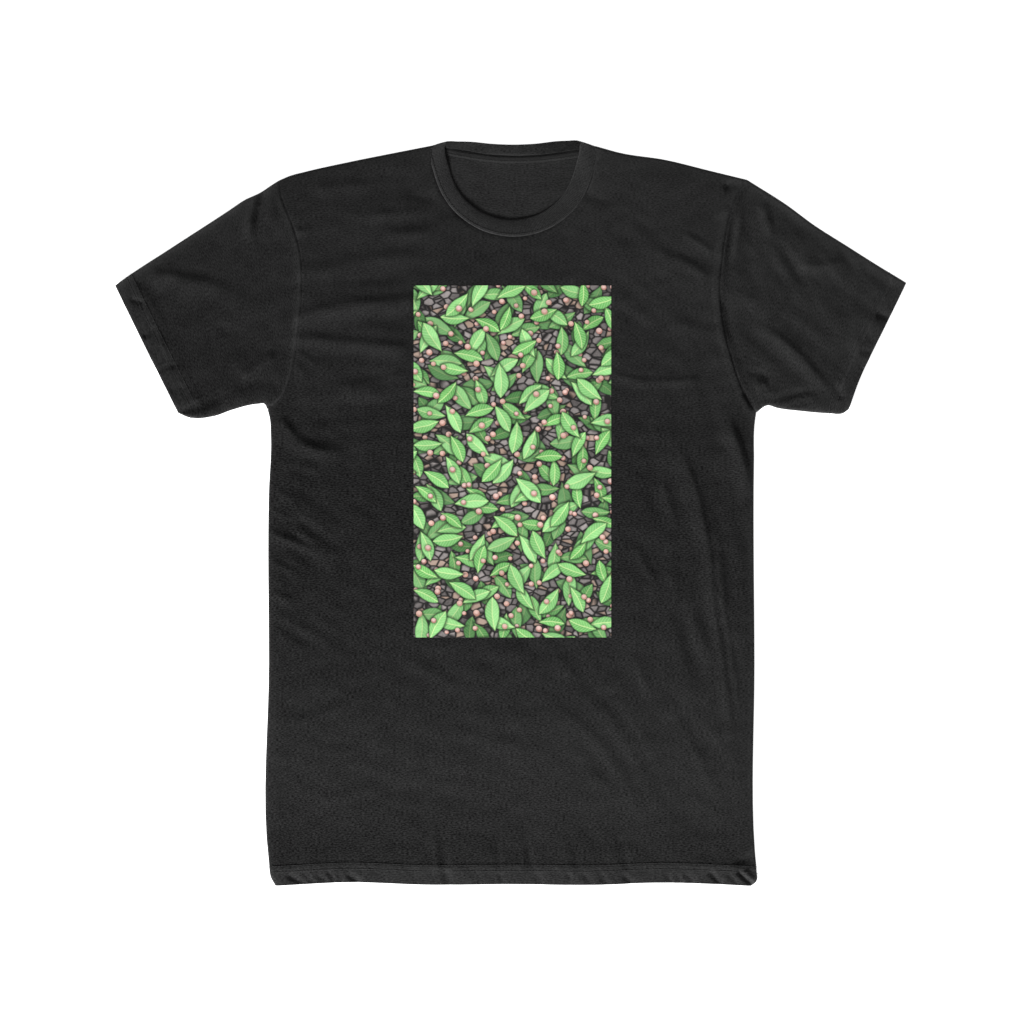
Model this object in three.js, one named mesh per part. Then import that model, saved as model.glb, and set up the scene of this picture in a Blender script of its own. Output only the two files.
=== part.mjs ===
// A short-sleeved crew-neck T-shirt laid flat on its back, its front up and its collar towards +Y.
// Millimetres, +Z up. The origin is on the surface it lies on, under the middle of the shirt.
// Right and left are the wearer's, so the right sleeve lies towards -X.
import * as THREE from "three";

const { clamp, degToRad, lerp, smoothstep } = THREE.MathUtils;

// Cloth
const JERSEY = 0.7; // one layer of knitted jersey
const HEM_DEPTH = 19.5; // bottom hem and cuffs, turned in once
const RIB_THICK = 1.6; // the collar's rib, folded in two
const RIB_WIDTH = 17.5; // from the neck seam to the fold
const TAPE_WIDTH = 8;
const TAPE_THICK = 0.5;
const INK_THICK = 0.25;
const SEAM_GAP = 0.35; // between pieces that are sewn together
const ARMHOLE_GAP = 1.2; // between a sleeve and the body, wider for the straight facets on both sides

// How the shirt lies: the front stands off the back by the air that is left in it
const BACK_EDGE = 1.4; // underside of the cloth at a closed edge
const FRONT_EDGE = 4.6; // top side of the cloth at a closed edge
const EDGE_ROUNDING = 4;
const EDGE_RISE = 3.4;
const LOFT_REACH = 50;
const LOFT_BODY = 5.4;
const LOFT_OPEN_END = 3.2; // loft of the front at the hem and the cuffs
const NECK_SINK = 5.6; // the front sinks towards the collar, which lies close to the back
const NECK_SINK_REACH = 40;
const OPEN_END_REACH = 140; // how far in from the hem and the cuffs the front still lies lower
const STITCH_ROOM = 1; // the cloth lies this high over the stitches under the hem and the cuffs
const STITCH_ROOM_FROM = 24; // from the folded edge inwards, the back comes down to the floor
const STITCH_ROOM_TO = 45;

// Sewing thread
const THREAD_WIDE = 0.8;
const THREAD_THICK = 0.4;
const STITCH_CLEAR = 0.4; // between a row of stitches and the cloth under it
const NEEDLE_ROWS = [13.5, HEM_DEPTH]; // twin-needle rows, from the folded edge
const OVERLOCK_WIDE = 5;
const OVERLOCK_THICK = 1;

// Neck
const NECK_CENTRE = [3, 356.5];
const NECK_SEAM_RADIUS = 81.5;
const BACK_NECK_DROP = 8.5;

// Chest print
const PRINT = { left: -96.5, right: 100.5, bottom: -125, top: 226 };

// Outlines seen from above. Closed edges are where the front meets the back.
const HEM = [
  [-235, -373.3], [-160, -369.5], [-85, -372], [0, -371.5], [90, -372],
  [140, -370], [185, -370.5], [225, -372.5], [240, -373.5],
];
const SIDES = {
  right: {
    seam: [
      [-235, -373.3], [-239.5, -365], [-241.5, -350], [-241.5, -150],
      [-241.5, 20], [-239.5, 75], [-241, 96], [-243, 103],
    ],
    armhole: [
      [-243, 103], [-234, 107.5], [-226, 117], [-218.8, 134.7], [-213.5, 165], [-209.5, 195],
      [-207.8, 225], [-208.7, 252.7], [-213.5, 275], [-221.8, 297.4], [-228.2, 313.3], [-231, 331.5],
    ],
    shoulder: [
      [-231, 331.5], [-220.5, 336], [-205.5, 340], [-160.5, 350], [-115.5, 359], [-84, 364.6],
    ],
    sleeveTop: [
      [-231, 331.5], [-236, 328.5], [-250.5, 319], [-265.5, 312], [-280.5, 302],
      [-340.5, 263], [-385.5, 233.5], [-395, 226.5],
    ],
    sleeveUnder: [
      [-243, 103], [-246, 108.2], [-252.5, 108], [-278.5, 102], [-295.5, 96], [-322, 94.7], [-332, 99],
    ],
    cuff: [[-332, 99], [-344, 123.5], [-364, 163.5], [-380, 196], [-395, 226.5]],
  },
  left: {
    seam: [
      [240, -373.5], [245, -369], [245, -358], [243.5, -340], [243, -150],
      [242.5, 50], [243.5, 90], [245, 99.5],
    ],
    armhole: [
      [245, 99.5], [240, 107.5], [229.8, 128.1], [221.2, 154], [214.3, 179.8], [210.8, 205.6],
      [209.5, 224.6], [211.7, 248.7], [215.1, 274.5], [219.5, 295.2], [224.5, 309], [236.5, 332],
    ],
    shoulder: [[236.5, 332], [199.5, 341], [154.5, 352], [109.5, 359], [89.5, 364]],
    sleeveTop: [
      [236.5, 332], [244.5, 327], [274.5, 308], [304.5, 286], [334.5, 267], [364.5, 248], [394.5, 229.5],
    ],
    sleeveUnder: [
      [245, 99.5], [257, 106.5], [266.5, 104], [291.2, 100.8], [318.5, 98.6], [332, 98.6], [337, 103],
    ],
    cuff: [[337, 103], [346, 128.7], [365.2, 170], [376.2, 192], [394.5, 229.5]],
  },
};

// Curves and distances

const curve = (points) => new THREE.SplineCurve(points.map(([x, y]) => new THREE.Vector2(x, y)));
const curves = { hem: curve(HEM) };
for (const [side, lines] of Object.entries(SIDES)) {
  for (const [name, points] of Object.entries(lines)) curves[`${side}_${name}`] = curve(points);
}
const polyline = (name, steps) => curves[name].getSpacedPoints(steps);
const evenShares = (steps) => Array.from({ length: steps + 1 }, (_, i) => i / steps);

const closedEdges = ["right", "left"].flatMap((side) => [
  polyline(`${side}_seam`, 24),
  polyline(`${side}_sleeveUnder`, 16),
  [...polyline(`${side}_sleeveTop`, 16).reverse(), ...polyline(`${side}_shoulder`, 16).slice(1)],
]);
const openEnds = [polyline("hem", 24), polyline("right_cuff", 12), polyline("left_cuff", 12)];

function distanceTo(line, x, y) {
  let best = Infinity;
  for (let i = 1; i < line.length; i++) {
    const a = line[i - 1];
    const dx = line[i].x - a.x;
    const dy = line[i].y - a.y;
    const along = clamp(((x - a.x) * dx + (y - a.y) * dy) / (dx * dx + dy * dy), 0, 1);
    best = Math.min(best, Math.hypot(x - a.x - along * dx, y - a.y - along * dy));
  }
  return best;
}

// Heights of the cloth: the top side of the front and the underside of the back

function frontHeight(x, y) {
  let rim = 1;
  let loft = 1;
  for (const edge of closedEdges) {
    const away = distanceTo(edge, x, y);
    rim *= 1 - Math.exp(-away / EDGE_ROUNDING);
    loft *= 1 - Math.exp(-away / LOFT_REACH);
  }
  const fromEnd = Math.min(...openEnds.map((end) => distanceTo(end, x, y)));
  const share = smoothstep(fromEnd, 0, OPEN_END_REACH);
  const fromNeck = Math.hypot(x - NECK_CENTRE[0], y - NECK_CENTRE[1]) - NECK_SEAM_RADIUS;
  const sink = NECK_SINK * Math.exp(-Math.max(fromNeck, 0) / NECK_SINK_REACH) * loft;
  return FRONT_EDGE + EDGE_RISE * rim + loft * lerp(LOFT_OPEN_END, LOFT_BODY, share) - sink;
}

function backHeight(x, y) {
  const fromEdge = Math.min(...closedEdges.map((edge) => distanceTo(edge, x, y)));
  const fromEnd = Math.min(...openEnds.map((end) => distanceTo(end, x, y)));
  const lift = STITCH_ROOM * (1 - smoothstep(fromEnd, STITCH_ROOM_FROM, STITCH_ROOM_TO));
  return lift + (BACK_EDGE - lift) * Math.exp((-2 * fromEdge) / EDGE_ROUNDING);
}

// Closed meshes

// One closed body from its vertices and quads, with its faces pointing out.
function closedMesh(points, quads) {
  const index = quads.flatMap(([a, b, c, d]) => [a, b, c, a, c, d]);
  let volume = 0;
  for (let i = 0; i < index.length; i += 3) {
    const [a, b, c] = [0, 1, 2].map((k) => points[index[i + k]]);
    volume += a.dot(b.clone().cross(c));
  }
  if (volume < 0) index.reverse();
  const geometry = new THREE.BufferGeometry();
  geometry.setAttribute("position", new THREE.Float32BufferAttribute(points.flatMap((p) => p.toArray()), 3));
  geometry.setIndex(index);
  geometry.computeVertexNormals();
  return geometry;
}

// A sheet of cloth between two grids of points of the same size.
function sheetSolid(upper, lower) {
  const rows = upper.length;
  const columns = upper[0].length;
  const points = [...upper.flat(), ...lower.flat()];
  const at = (row, column, layer) => (layer * rows + row) * columns + column;
  const lastRow = rows - 1;
  const lastColumn = columns - 1;
  const quads = [];
  for (let r = 0; r < lastRow; r++) {
    for (let c = 0; c < lastColumn; c++) {
      quads.push([at(r, c, 0), at(r, c + 1, 0), at(r + 1, c + 1, 0), at(r + 1, c, 0)]);
      quads.push([at(r, c, 1), at(r + 1, c, 1), at(r + 1, c + 1, 1), at(r, c + 1, 1)]);
    }
  }
  for (let c = 0; c < lastColumn; c++) {
    quads.push([at(0, c, 1), at(0, c + 1, 1), at(0, c + 1, 0), at(0, c, 0)]);
    quads.push([at(lastRow, c, 0), at(lastRow, c + 1, 0), at(lastRow, c + 1, 1), at(lastRow, c, 1)]);
  }
  for (let r = 0; r < lastRow; r++) {
    quads.push([at(r, 0, 0), at(r + 1, 0, 0), at(r + 1, 0, 1), at(r, 0, 1)]);
    const c = lastColumn;
    quads.push([at(r, c, 1), at(r + 1, c, 1), at(r + 1, c, 0), at(r, c, 0)]);
  }
  return closedMesh(points, quads);
}

// A closed band: every ring is a closed loop of points, and the last ring joins the first.
function bandSolid(rings) {
  const around = rings[0].length;
  const at = (ring, point) => (ring % rings.length) * around + (point % around);
  const quads = rings.flatMap((ring, r) =>
    ring.map((_, p) => [at(r, p), at(r, p + 1), at(r + 1, p + 1), at(r + 1, p)]),
  );
  return closedMesh(rings.flat(), quads);
}

// A run of thread or overlocked edge with two ends: a stack of four-cornered sections.
function runSolid(sections) {
  const last = (sections.length - 1) * 4;
  const quads = [[3, 2, 1, 0], [last, last + 1, last + 2, last + 3]];
  for (let s = 0; s < sections.length - 1; s++) {
    for (let k = 0; k < 4; k++) {
      const next = (k + 1) % 4;
      quads.push([s * 4 + k, s * 4 + next, s * 4 + 4 + next, s * 4 + 4 + k]);
    }
  }
  return closedMesh(sections.flat(), quads);
}

// The four corners of a flat thread that lies on a surface whose outward direction is up.
function section(centre, up, across, wide, thick) {
  const u = up.clone().multiplyScalar(thick / 2);
  const a = across.clone().multiplyScalar(wide / 2);
  return [
    centre.clone().add(u).add(a),
    centre.clone().add(u).sub(a),
    centre.clone().sub(u).sub(a),
    centre.clone().sub(u).add(a),
  ];
}

// A closed row of stitches on a loop of { point, up }, lying just clear of the cloth.
function stitchLoop(loop) {
  const rings = loop.map(({ point, up }, i) => {
    const before = loop[(i + loop.length - 1) % loop.length].point;
    const after = loop[(i + 1) % loop.length].point;
    const across = after.clone().sub(before).cross(up).normalize();
    const centre = point.clone().addScaledVector(up, STITCH_CLEAR + THREAD_THICK / 2);
    return section(centre, up, across, THREAD_WIDE, THREAD_THICK);
  });
  return bandSolid(rings);
}

// Front and back

// A patch filled in between its four edges, each a function of 0 to 1.
const patch = (bottom, top, left, right) => (u, v) => {
  const blend = (k) =>
    (1 - v) * bottom(u)[k] + v * top(u)[k] + (1 - u) * left(v)[k] + u * right(v)[k]
    - (1 - u) * (1 - v) * bottom(0)[k] - u * (1 - v) * bottom(1)[k]
    - (1 - u) * v * top(0)[k] - u * v * top(1)[k];
  return [blend(0), blend(1)];
};

const xy = (point) => [point.x, point.y];

// The side seam and the armhole above it as one edge, from 0 at the hem to 1 at the shoulder.
function sideEdge(side) {
  const seam = curves[`${side}_seam`];
  const armhole = curves[`${side}_armhole`];
  const turn = seam.getLength() / (seam.getLength() + armhole.getLength());
  const edge = (v) => xy(v < turn ? seam.getPointAt(v / turn) : armhole.getPointAt((v - turn) / (1 - turn)));
  return { edge, turn };
}

// Both shoulders and the neckline between them; shoulderShare is the part of 0 to 1 that each shoulder takes.
function topEdge(neckline, shoulderShare) {
  return (u) => {
    if (u < shoulderShare) return xy(curves.right_shoulder.getPointAt(u / shoulderShare));
    if (u > 1 - shoulderShare) return xy(curves.left_shoulder.getPointAt((1 - u) / shoulderShare));
    return neckline((u - shoulderShare) / (1 - 2 * shoulderShare));
  };
}

const neckEnds = [SIDES.right.shoulder.at(-1), SIDES.left.shoulder.at(-1)];

// The front neckline: an arc of a circle between the two shoulders.
function frontNeckline(share) {
  const radius = NECK_SEAM_RADIUS + 2 * SEAM_GAP;
  const [from, to] = neckEnds.map(([x, y]) => Math.atan2(y - NECK_CENTRE[1], x - NECK_CENTRE[0]));
  const angle = lerp(from, to + 2 * Math.PI, share);
  const ends = neckEnds.map(([x, y]) => Math.hypot(x - NECK_CENTRE[0], y - NECK_CENTRE[1]));
  const reach = share === 0 ? ends[0] : share === 1 ? ends[1] : radius;
  return [NECK_CENTRE[0] + reach * Math.cos(angle), NECK_CENTRE[1] + reach * Math.sin(angle)];
}

// The back neckline: a shallow dip between the two shoulders.
function backNeckline(share) {
  const [from, to] = neckEnds;
  const dip = BACK_NECK_DROP * Math.sin(Math.PI * share) ** 0.7;
  return [lerp(from[0], to[0], share), lerp(from[1], to[1], share) - dip];
}

const CLOSE_TO_EDGE = [0.006, 0.02]; // shares of the panel at which the rounded edge gets its own lines
const HEM_END = [HEM_DEPTH + 1.5, STITCH_ROOM_TO]; // where the doubled hem ends and the back is down
const ABOVE_HEM = 0.12;
const CROWDED_AT_UNDERARM = 1.4;

// A body panel as a grid of plan points, from the hem up. Rows near the hem keep a set distance from it.
function panelGrid(neckline, shoulderShare, columns, rows) {
  const right = sideEdge("right");
  const left = sideEdge("left");
  const top = topEdge(neckline, shoulderShare);
  const bottom = (u) => xy(curves.hem.getPointAt(u));
  const at = patch(bottom, top, right.edge, left.edge);
  const along = evenShares(rows).slice(0, -1).map((share) => lerp(ABOVE_HEM, right.turn, share));
  const armhole = evenShares(2 * rows).map((share) => lerp(right.turn, 1, share ** CROWDED_AT_UNDERARM));
  const shoulder = CLOSE_TO_EDGE.map((share) => 1 - share).reverse();
  const upper = [...along, ...armhole.slice(0, -1), ...shoulder, 1];
  const hem = [0, ...NEEDLE_ROWS, ...HEM_END];
  return [
    ...hem.map((away) => columns.map((u) => at(u, away / (top(u)[1] - bottom(u)[1])))),
    ...upper.map((v) => columns.map((u) => at(u, v))),
  ];
}

// Columns that put one on each neck corner.
function panelColumns(shoulderShare, shoulderSteps, neckSteps) {
  const [edge, ...shoulder] = evenShares(shoulderSteps).slice(0, -1).map((share) => share * shoulderShare);
  const half = [edge, ...CLOSE_TO_EDGE, ...shoulder];
  const neck = evenShares(neckSteps).map((share) => lerp(shoulderShare, 1 - shoulderShare, share));
  return [...half, ...neck, ...half.map((u) => 1 - u).reverse()];
}

const clothLayers = (row) => (row <= NEEDLE_ROWS.length ? 2 : 1);
const raise = (grid, height) =>
  grid.map((row, r) => row.map(([x, y]) => new THREE.Vector3(x, y, height(x, y, r))));

const FRONT_SHOULDER = 0.275; // share of the panel's width that each shoulder takes
const BACK_SHOULDER = 0.32;
const frontGrid = panelGrid(frontNeckline, FRONT_SHOULDER, panelColumns(FRONT_SHOULDER, 4, 14), 5);
const backGrid = panelGrid(backNeckline, BACK_SHOULDER, panelColumns(BACK_SHOULDER, 3, 6), 5);

const frontPanel = () =>
  sheetSolid(
    raise(frontGrid, frontHeight),
    raise(frontGrid, (x, y, r) => frontHeight(x, y) - JERSEY * clothLayers(r)),
  );

const backPanel = () =>
  sheetSolid(
    raise(backGrid, (x, y, r) => backHeight(x, y) + JERSEY * clothLayers(r)),
    raise(backGrid, backHeight),
  );

// A needle row round the whole hem: over the front, round the left side seam and back under the back.
function hemRow(number) {
  const up = new THREE.Vector3(0, 0, 1);
  const down = new THREE.Vector3(0, 0, -1);
  const over = raise([frontGrid[number]], frontHeight)[0].map((point) => ({ point, up }));
  const under = raise([backGrid[number]], backHeight)[0].map((point) => ({ point, up: down }));
  const turn = (points, sign) => {
    const edge = points.at(sign > 0 ? -1 : 0).point;
    const point = new THREE.Vector3(edge.x, edge.y, (FRONT_EDGE + BACK_EDGE) / 2);
    return { point, up: new THREE.Vector3(sign, 0, 0) };
  };
  const corner = ({ point, up: out }, sign) => ({
    point,
    up: out.clone().add(new THREE.Vector3(sign, 0, 0)),
  });
  const top = [corner(over[0], -1), ...over.slice(1, -1), corner(over.at(-1), 1)];
  const low = [corner(under[0], -1), ...under.slice(1, -1), corner(under.at(-1), 1)];
  return stitchLoop([...top, turn(over, 1), ...low.reverse(), turn(over, -1)]);
}

// Sleeves

// Plan of a sleeve: u runs from the armhole to the cuff, v from the underarm to the top fold.
function sleevePlan(side) {
  const line = (name) => (share) => xy(curves[`${side}_${name}`].getPointAt(share));
  const armhole = (v) => {
    const { x, y } = curves[`${side}_armhole`].getPointAt(v);
    const along = curves[`${side}_armhole`].getTangentAt(v);
    const off = side === "right" ? ARMHOLE_GAP : -ARMHOLE_GAP;
    return [x - off * along.y, y + off * along.x];
  };
  return patch(line("sleeveUnder"), line("sleeveTop"), armhole, line("cuff"));
}

const SLEEVE_ACROSS = [0, 0.02, 0.05, 0.1, 0.16, 0.3, 0.44, 0.58, 0.72, 0.84, 0.93, 0.98, 1];
const SLEEVE_ALONG = [0, 0.08, 0.22, 0.36, 0.5, 0.64, 0.76]; // then the rows of the cuff's hem
const INSIDE = 0.012; // how far the hollow stays from the sleeve's closed edges, as a share of its width

// The rings of a sleeve from its armhole to its cuff, each a loop over the top and back underneath.
function sleeveRing(plan, u, inset) {
  const across = SLEEVE_ACROSS.map((v) => (inset ? lerp(INSIDE, 1 - INSIDE, v) : v));
  const over = across.map((v) => {
    const [x, y] = plan(u, v);
    return new THREE.Vector3(x, y, frontHeight(x, y) - inset);
  });
  const under = across.map((v) => {
    const [x, y] = plan(u, v);
    return new THREE.Vector3(x, y, backHeight(x, y) + inset);
  });
  return [...over, ...under.reverse()];
}

// Shares along the sleeve of the cuff's edge, its two rows of stitches and the end of its hem.
function cuffShares(plan) {
  const [cuffX, cuffY] = plan(1, 0.5);
  const [seamX, seamY] = plan(0, 0.5);
  const long = Math.hypot(cuffX - seamX, cuffY - seamY);
  return [0, ...NEEDLE_ROWS, HEM_END[0]].map((away) => 1 - away / long);
}

function sleeve(side) {
  const plan = sleevePlan(side);
  const [hemEnd, ...hem] = cuffShares(plan).reverse();
  const single = [...SLEEVE_ALONG, hemEnd];
  const outer = [...single, ...hem].map((u) => sleeveRing(plan, u, 0));
  const inner = [
    ...single.map((u) => sleeveRing(plan, u, JERSEY)),
    ...hem.map((u) => sleeveRing(plan, u, 2 * JERSEY)),
  ];
  return bandSolid([...outer, ...inner.reverse()]);
}

function cuffRow(side, number) {
  const plan = sleevePlan(side);
  const ring = sleeveRing(plan, cuffShares(plan)[number], 0);
  const half = ring.length / 2;
  const middle = new THREE.Vector3().addVectors(ring[0], ring[half]).multiplyScalar(0.5);
  const loop = ring.map((point, i) => {
    const up = new THREE.Vector3(0, 0, i < half ? 1 : -1);
    const onEdge = i % half === 0 || i % half === half - 1;
    if (onEdge) up.add(new THREE.Vector3(point.x - middle.x, point.y - middle.y, 0).normalize());
    return { point, up };
  });
  return stitchLoop(loop);
}

// Collar

const RIB_STEPS = 80;
const RIB_TURN = 23; // degrees between the points that shape the rib over the front
const FOLD_CENTRE = [1.5, 356];
const SHOULDER_SEAM = [[-78.5, 366.2, 4.2], [84.5, 366.2, 4.2]];
const SHOULDER_FOLD = [[-61.5, 371.2, 9.4], [65, 373, 9.4]];
const FRONT_FOLD_Z = 6.6;
const BACK_SEAM = [[58, 358.9, 2.7], [30, 357.9, 2.7], [2, 357.5, 2.7], [-26, 357.9, 2.7], [-54, 358.9, 2.7]];
const BACK_FOLD = [
  [47.2, 370.8, 8.6], [25.4, 367.8, 9.1], [3.6, 366.8, 9.3], [-18.3, 367.8, 9.1], [-40.1, 370.8, 8.6],
];

// The neck seam and the folded edge of the rib, both once round from the right shoulder over the front.
function ribEdges() {
  const seam = [SHOULDER_SEAM[0]];
  const fold = [SHOULDER_FOLD[0]];
  const foldRadius = NECK_SEAM_RADIUS - RIB_WIDTH;
  for (let degrees = 180 - RIB_TURN / 8; degrees < 365; degrees += RIB_TURN) {
    const cos = Math.cos(degToRad(degrees));
    const sin = Math.sin(degToRad(degrees));
    const x = NECK_CENTRE[0] + NECK_SEAM_RADIUS * cos;
    const y = NECK_CENTRE[1] + NECK_SEAM_RADIUS * sin;
    seam.push([x, y, frontHeight(x, y) - JERSEY / 2]);
    fold.push([FOLD_CENTRE[0] + foldRadius * cos, FOLD_CENTRE[1] + foldRadius * sin, FRONT_FOLD_Z]);
  }
  seam.push(SHOULDER_SEAM[1], ...BACK_SEAM);
  fold.push(SHOULDER_FOLD[1], ...BACK_FOLD);
  const ring = (points) =>
    new THREE.CatmullRomCurve3(points.map((p) => new THREE.Vector3(...p)), true, "centripetal");
  return { seam: ring(seam), fold: ring(fold) };
}

const rib = ribEdges();

// A place on the rib: share 0 on the neck seam and 1 on the fold, with the outward direction there.
function onRib(turn, share) {
  const seam = rib.seam.getPoint(turn);
  const fold = rib.fold.getPoint(turn);
  const along = rib.seam.getTangent(turn).add(rib.fold.getTangent(turn));
  const up = fold.clone().sub(seam).cross(along).normalize().negate();
  return { point: seam.lerp(fold, share), up };
}

// Section of the rib, from the seam out and back: its share of the width and its side of the middle
const RIB_SECTION = [[0, -1], [0.5, -1], [0.94, -1], [1, 0], [0.94, 1], [0.5, 1], [0, 1]];
const ribTurns = evenShares(RIB_STEPS).slice(0, -1);

function collar() {
  const rings = ribTurns.map((turn) =>
    RIB_SECTION.map(([share, side]) => {
      const { point, up } = onRib(turn, share);
      return point.addScaledVector(up, (side * RIB_THICK) / 2);
    }),
  );
  return bandSolid(rings);
}

function collarRow() {
  const fromSeam = 0.16;
  const loop = ribTurns.map((turn) => {
    const { point, up } = onRib(turn, fromSeam);
    return { point: point.addScaledVector(up, RIB_THICK / 2), up };
  });
  return stitchLoop(loop);
}

// Tape over the seam behind the neck, from shoulder to shoulder
const TAPE_STEPS = 12;

function tapeLine(share, drop) {
  const [x, y] = backNeckline(lerp(0.1, 0.9, share));
  return [x, y - drop];
}

const TAPE_BASE = JERSEY + 2 * SEAM_GAP; // over the underside of the back

function tape() {
  const plan = [0, TAPE_WIDTH].map((drop) => evenShares(TAPE_STEPS).map((share) => tapeLine(share, drop)));
  return sheetSolid(
    raise(plan, (x, y) => backHeight(x, y) + TAPE_BASE + TAPE_THICK),
    raise(plan, (x, y) => backHeight(x, y) + TAPE_BASE),
  );
}

function tapeRow() {
  const top = TAPE_BASE + TAPE_THICK + SEAM_GAP + THREAD_THICK / 2;
  const up = new THREE.Vector3(0, 0, 1);
  const across = new THREE.Vector3(0, 1, 0);
  const sections = evenShares(TAPE_STEPS).map((share) => {
    const [x, y] = tapeLine(lerp(0.02, 0.98, share), TAPE_WIDTH - 1.5);
    return section(new THREE.Vector3(x, y, backHeight(x, y) + top), up, across, THREAD_WIDE, THREAD_THICK);
  });
  return runSolid(sections);
}

// Overlocked seam edges, all inside the shirt

const OVERLOCK_SET_IN = 2.6; // from the seam's outline to the overlocked edge
const OVERLOCK_HEIGHT = (FRONT_EDGE + BACK_EDGE) / 2 + 0.2; // level between front and back

// The overlocked edge inside a side or shoulder seam. inward is 1 where the shirt is to the line's left.
function overlockRun(line, from, to, inward, steps) {
  const up = new THREE.Vector3(0, 0, 1);
  const sections = evenShares(steps).map((step) => {
    const share = lerp(from, to, step);
    const { x, y } = line.getPointAt(share);
    const along = line.getTangentAt(share);
    const across = new THREE.Vector3(-along.y, along.x, 0).multiplyScalar(inward);
    const centre = new THREE.Vector3(x, y, OVERLOCK_HEIGHT);
    centre.addScaledVector(across, OVERLOCK_SET_IN + OVERLOCK_WIDE / 2);
    return section(centre, up, across, OVERLOCK_WIDE, OVERLOCK_THICK);
  });
  return runSolid(sections);
}

const ARMHOLE_STEPS = 12;

// The overlocked edge round an armhole, on the body's side of the seam: under the front, then over the back.
function armholeOverlock(side) {
  const line = curves[`${side}_armhole`];
  const inward = side === "right" ? 1 : -1;
  const place = (share, onFront) => {
    const { x, y } = line.getPointAt(lerp(0.17, 0.93, share));
    const px = x + inward * (ARMHOLE_GAP + OVERLOCK_WIDE / 2);
    const z = onFront
      ? frontHeight(px, y) - JERSEY - 2 * SEAM_GAP - OVERLOCK_THICK / 2
      : backHeight(px, y) + JERSEY + SEAM_GAP + OVERLOCK_THICK / 2;
    return new THREE.Vector3(px, y, z);
  };
  const shares = evenShares(ARMHOLE_STEPS);
  const over = shares.map((share) => place(share, true));
  const under = shares.map((share) => place(share, false)).reverse();
  const loop = [...over, ...under];
  const across = new THREE.Vector3(inward, 0, 0);
  const rings = loop.map((centre, i) => {
    const before = loop[(i + loop.length - 1) % loop.length];
    const after = loop[(i + 1) % loop.length];
    const up = across.clone().cross(after.clone().sub(before)).normalize();
    return section(centre, up, across, OVERLOCK_WIDE, OVERLOCK_THICK);
  });
  return bandSolid(rings);
}

// Chest print: a thin film of ink on the front

function chestPrint() {
  const columns = evenShares(8).map((share) => lerp(PRINT.left, PRINT.right, share));
  const rows = evenShares(12).map((share) => lerp(PRINT.bottom, PRINT.top, share));
  const plan = rows.map((y) => columns.map((x) => [x, y]));
  return sheetSolid(
    raise(plan, (x, y) => frontHeight(x, y) + SEAM_GAP + INK_THICK),
    raise(plan, (x, y) => frontHeight(x, y) + SEAM_GAP),
  );
}

// The shirt

const material = (color, roughness) => new THREE.MeshStandardMaterial({ color, roughness, metalness: 0 });
const JERSEY_CLOTH = material(0x292929, 0.92);
const RIB_CLOTH = material(0x2b2b2b, 0.9);
const TAPE_CLOTH = material(0x262626, 0.9);
const THREAD = material(0x303030, 0.7);
const INK = material(0x5da64a, 0.75);

const shirt = new THREE.Group();
function add(name, geometry, cloth) {
  const mesh = new THREE.Mesh(geometry, cloth);
  mesh.name = name;
  shirt.add(mesh);
}

add("front_panel", frontPanel(), JERSEY_CLOTH);
add("back_panel", backPanel(), JERSEY_CLOTH);
add("neck_rib", collar(), RIB_CLOTH);
add("neck_tape", tape(), TAPE_CLOTH);
add("chest_print", chestPrint(), INK);
add("neck_seam_stitches", collarRow(), THREAD);
add("neck_tape_stitches", tapeRow(), THREAD);
NEEDLE_ROWS.forEach((_, i) => add(`hem_stitches_${i + 1}`, hemRow(i + 1), THREAD));
for (const side of ["right", "left"]) {
  const turn = side === "right" ? -1 : 1;
  add(`${side}_sleeve`, sleeve(side), JERSEY_CLOTH);
  NEEDLE_ROWS.forEach((_, i) => add(`${side}_cuff_stitches_${i + 1}`, cuffRow(side, i + 1), THREAD));
  add(`${side}_side_overlock`, overlockRun(curves[`${side}_seam`], 0.06, 0.96, turn, 20), THREAD);
  add(`${side}_shoulder_overlock`, overlockRun(curves[`${side}_shoulder`], 0.07, 0.9, turn, 10), THREAD);
  add(`${side}_armhole_overlock`, armholeOverlock(side), THREAD);
}

export default shirt;
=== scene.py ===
# A black short-sleeved crew-neck T-shirt that lies flat on its back, its collar towards +Y.
# Places and heights are worked out in millimetres, and turned into metres when a mesh is made.
# Right and left are the wearer's, so the right sleeve lies towards -X.
import math

import bmesh
import bpy
import numpy as np
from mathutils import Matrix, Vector


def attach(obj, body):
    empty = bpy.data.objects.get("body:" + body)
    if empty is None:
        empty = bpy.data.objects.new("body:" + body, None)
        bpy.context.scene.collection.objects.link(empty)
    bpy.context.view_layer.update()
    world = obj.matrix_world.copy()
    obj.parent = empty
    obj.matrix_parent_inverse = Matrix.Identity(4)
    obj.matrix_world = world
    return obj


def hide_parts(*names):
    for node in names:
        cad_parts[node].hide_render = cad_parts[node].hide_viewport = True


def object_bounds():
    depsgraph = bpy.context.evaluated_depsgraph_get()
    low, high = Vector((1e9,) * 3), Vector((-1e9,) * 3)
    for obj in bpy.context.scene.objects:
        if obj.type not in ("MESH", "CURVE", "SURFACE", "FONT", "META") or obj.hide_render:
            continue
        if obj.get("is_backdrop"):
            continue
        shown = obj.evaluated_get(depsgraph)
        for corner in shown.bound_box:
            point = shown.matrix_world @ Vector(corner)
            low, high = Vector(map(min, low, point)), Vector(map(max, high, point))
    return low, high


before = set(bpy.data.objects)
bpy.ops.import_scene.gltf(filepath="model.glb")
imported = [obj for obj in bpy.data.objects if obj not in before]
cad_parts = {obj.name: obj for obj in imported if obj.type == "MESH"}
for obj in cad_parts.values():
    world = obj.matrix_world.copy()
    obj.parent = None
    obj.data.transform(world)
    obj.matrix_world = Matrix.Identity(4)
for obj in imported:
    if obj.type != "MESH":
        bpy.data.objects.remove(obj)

MM = 0.001
cad_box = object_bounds()
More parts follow.
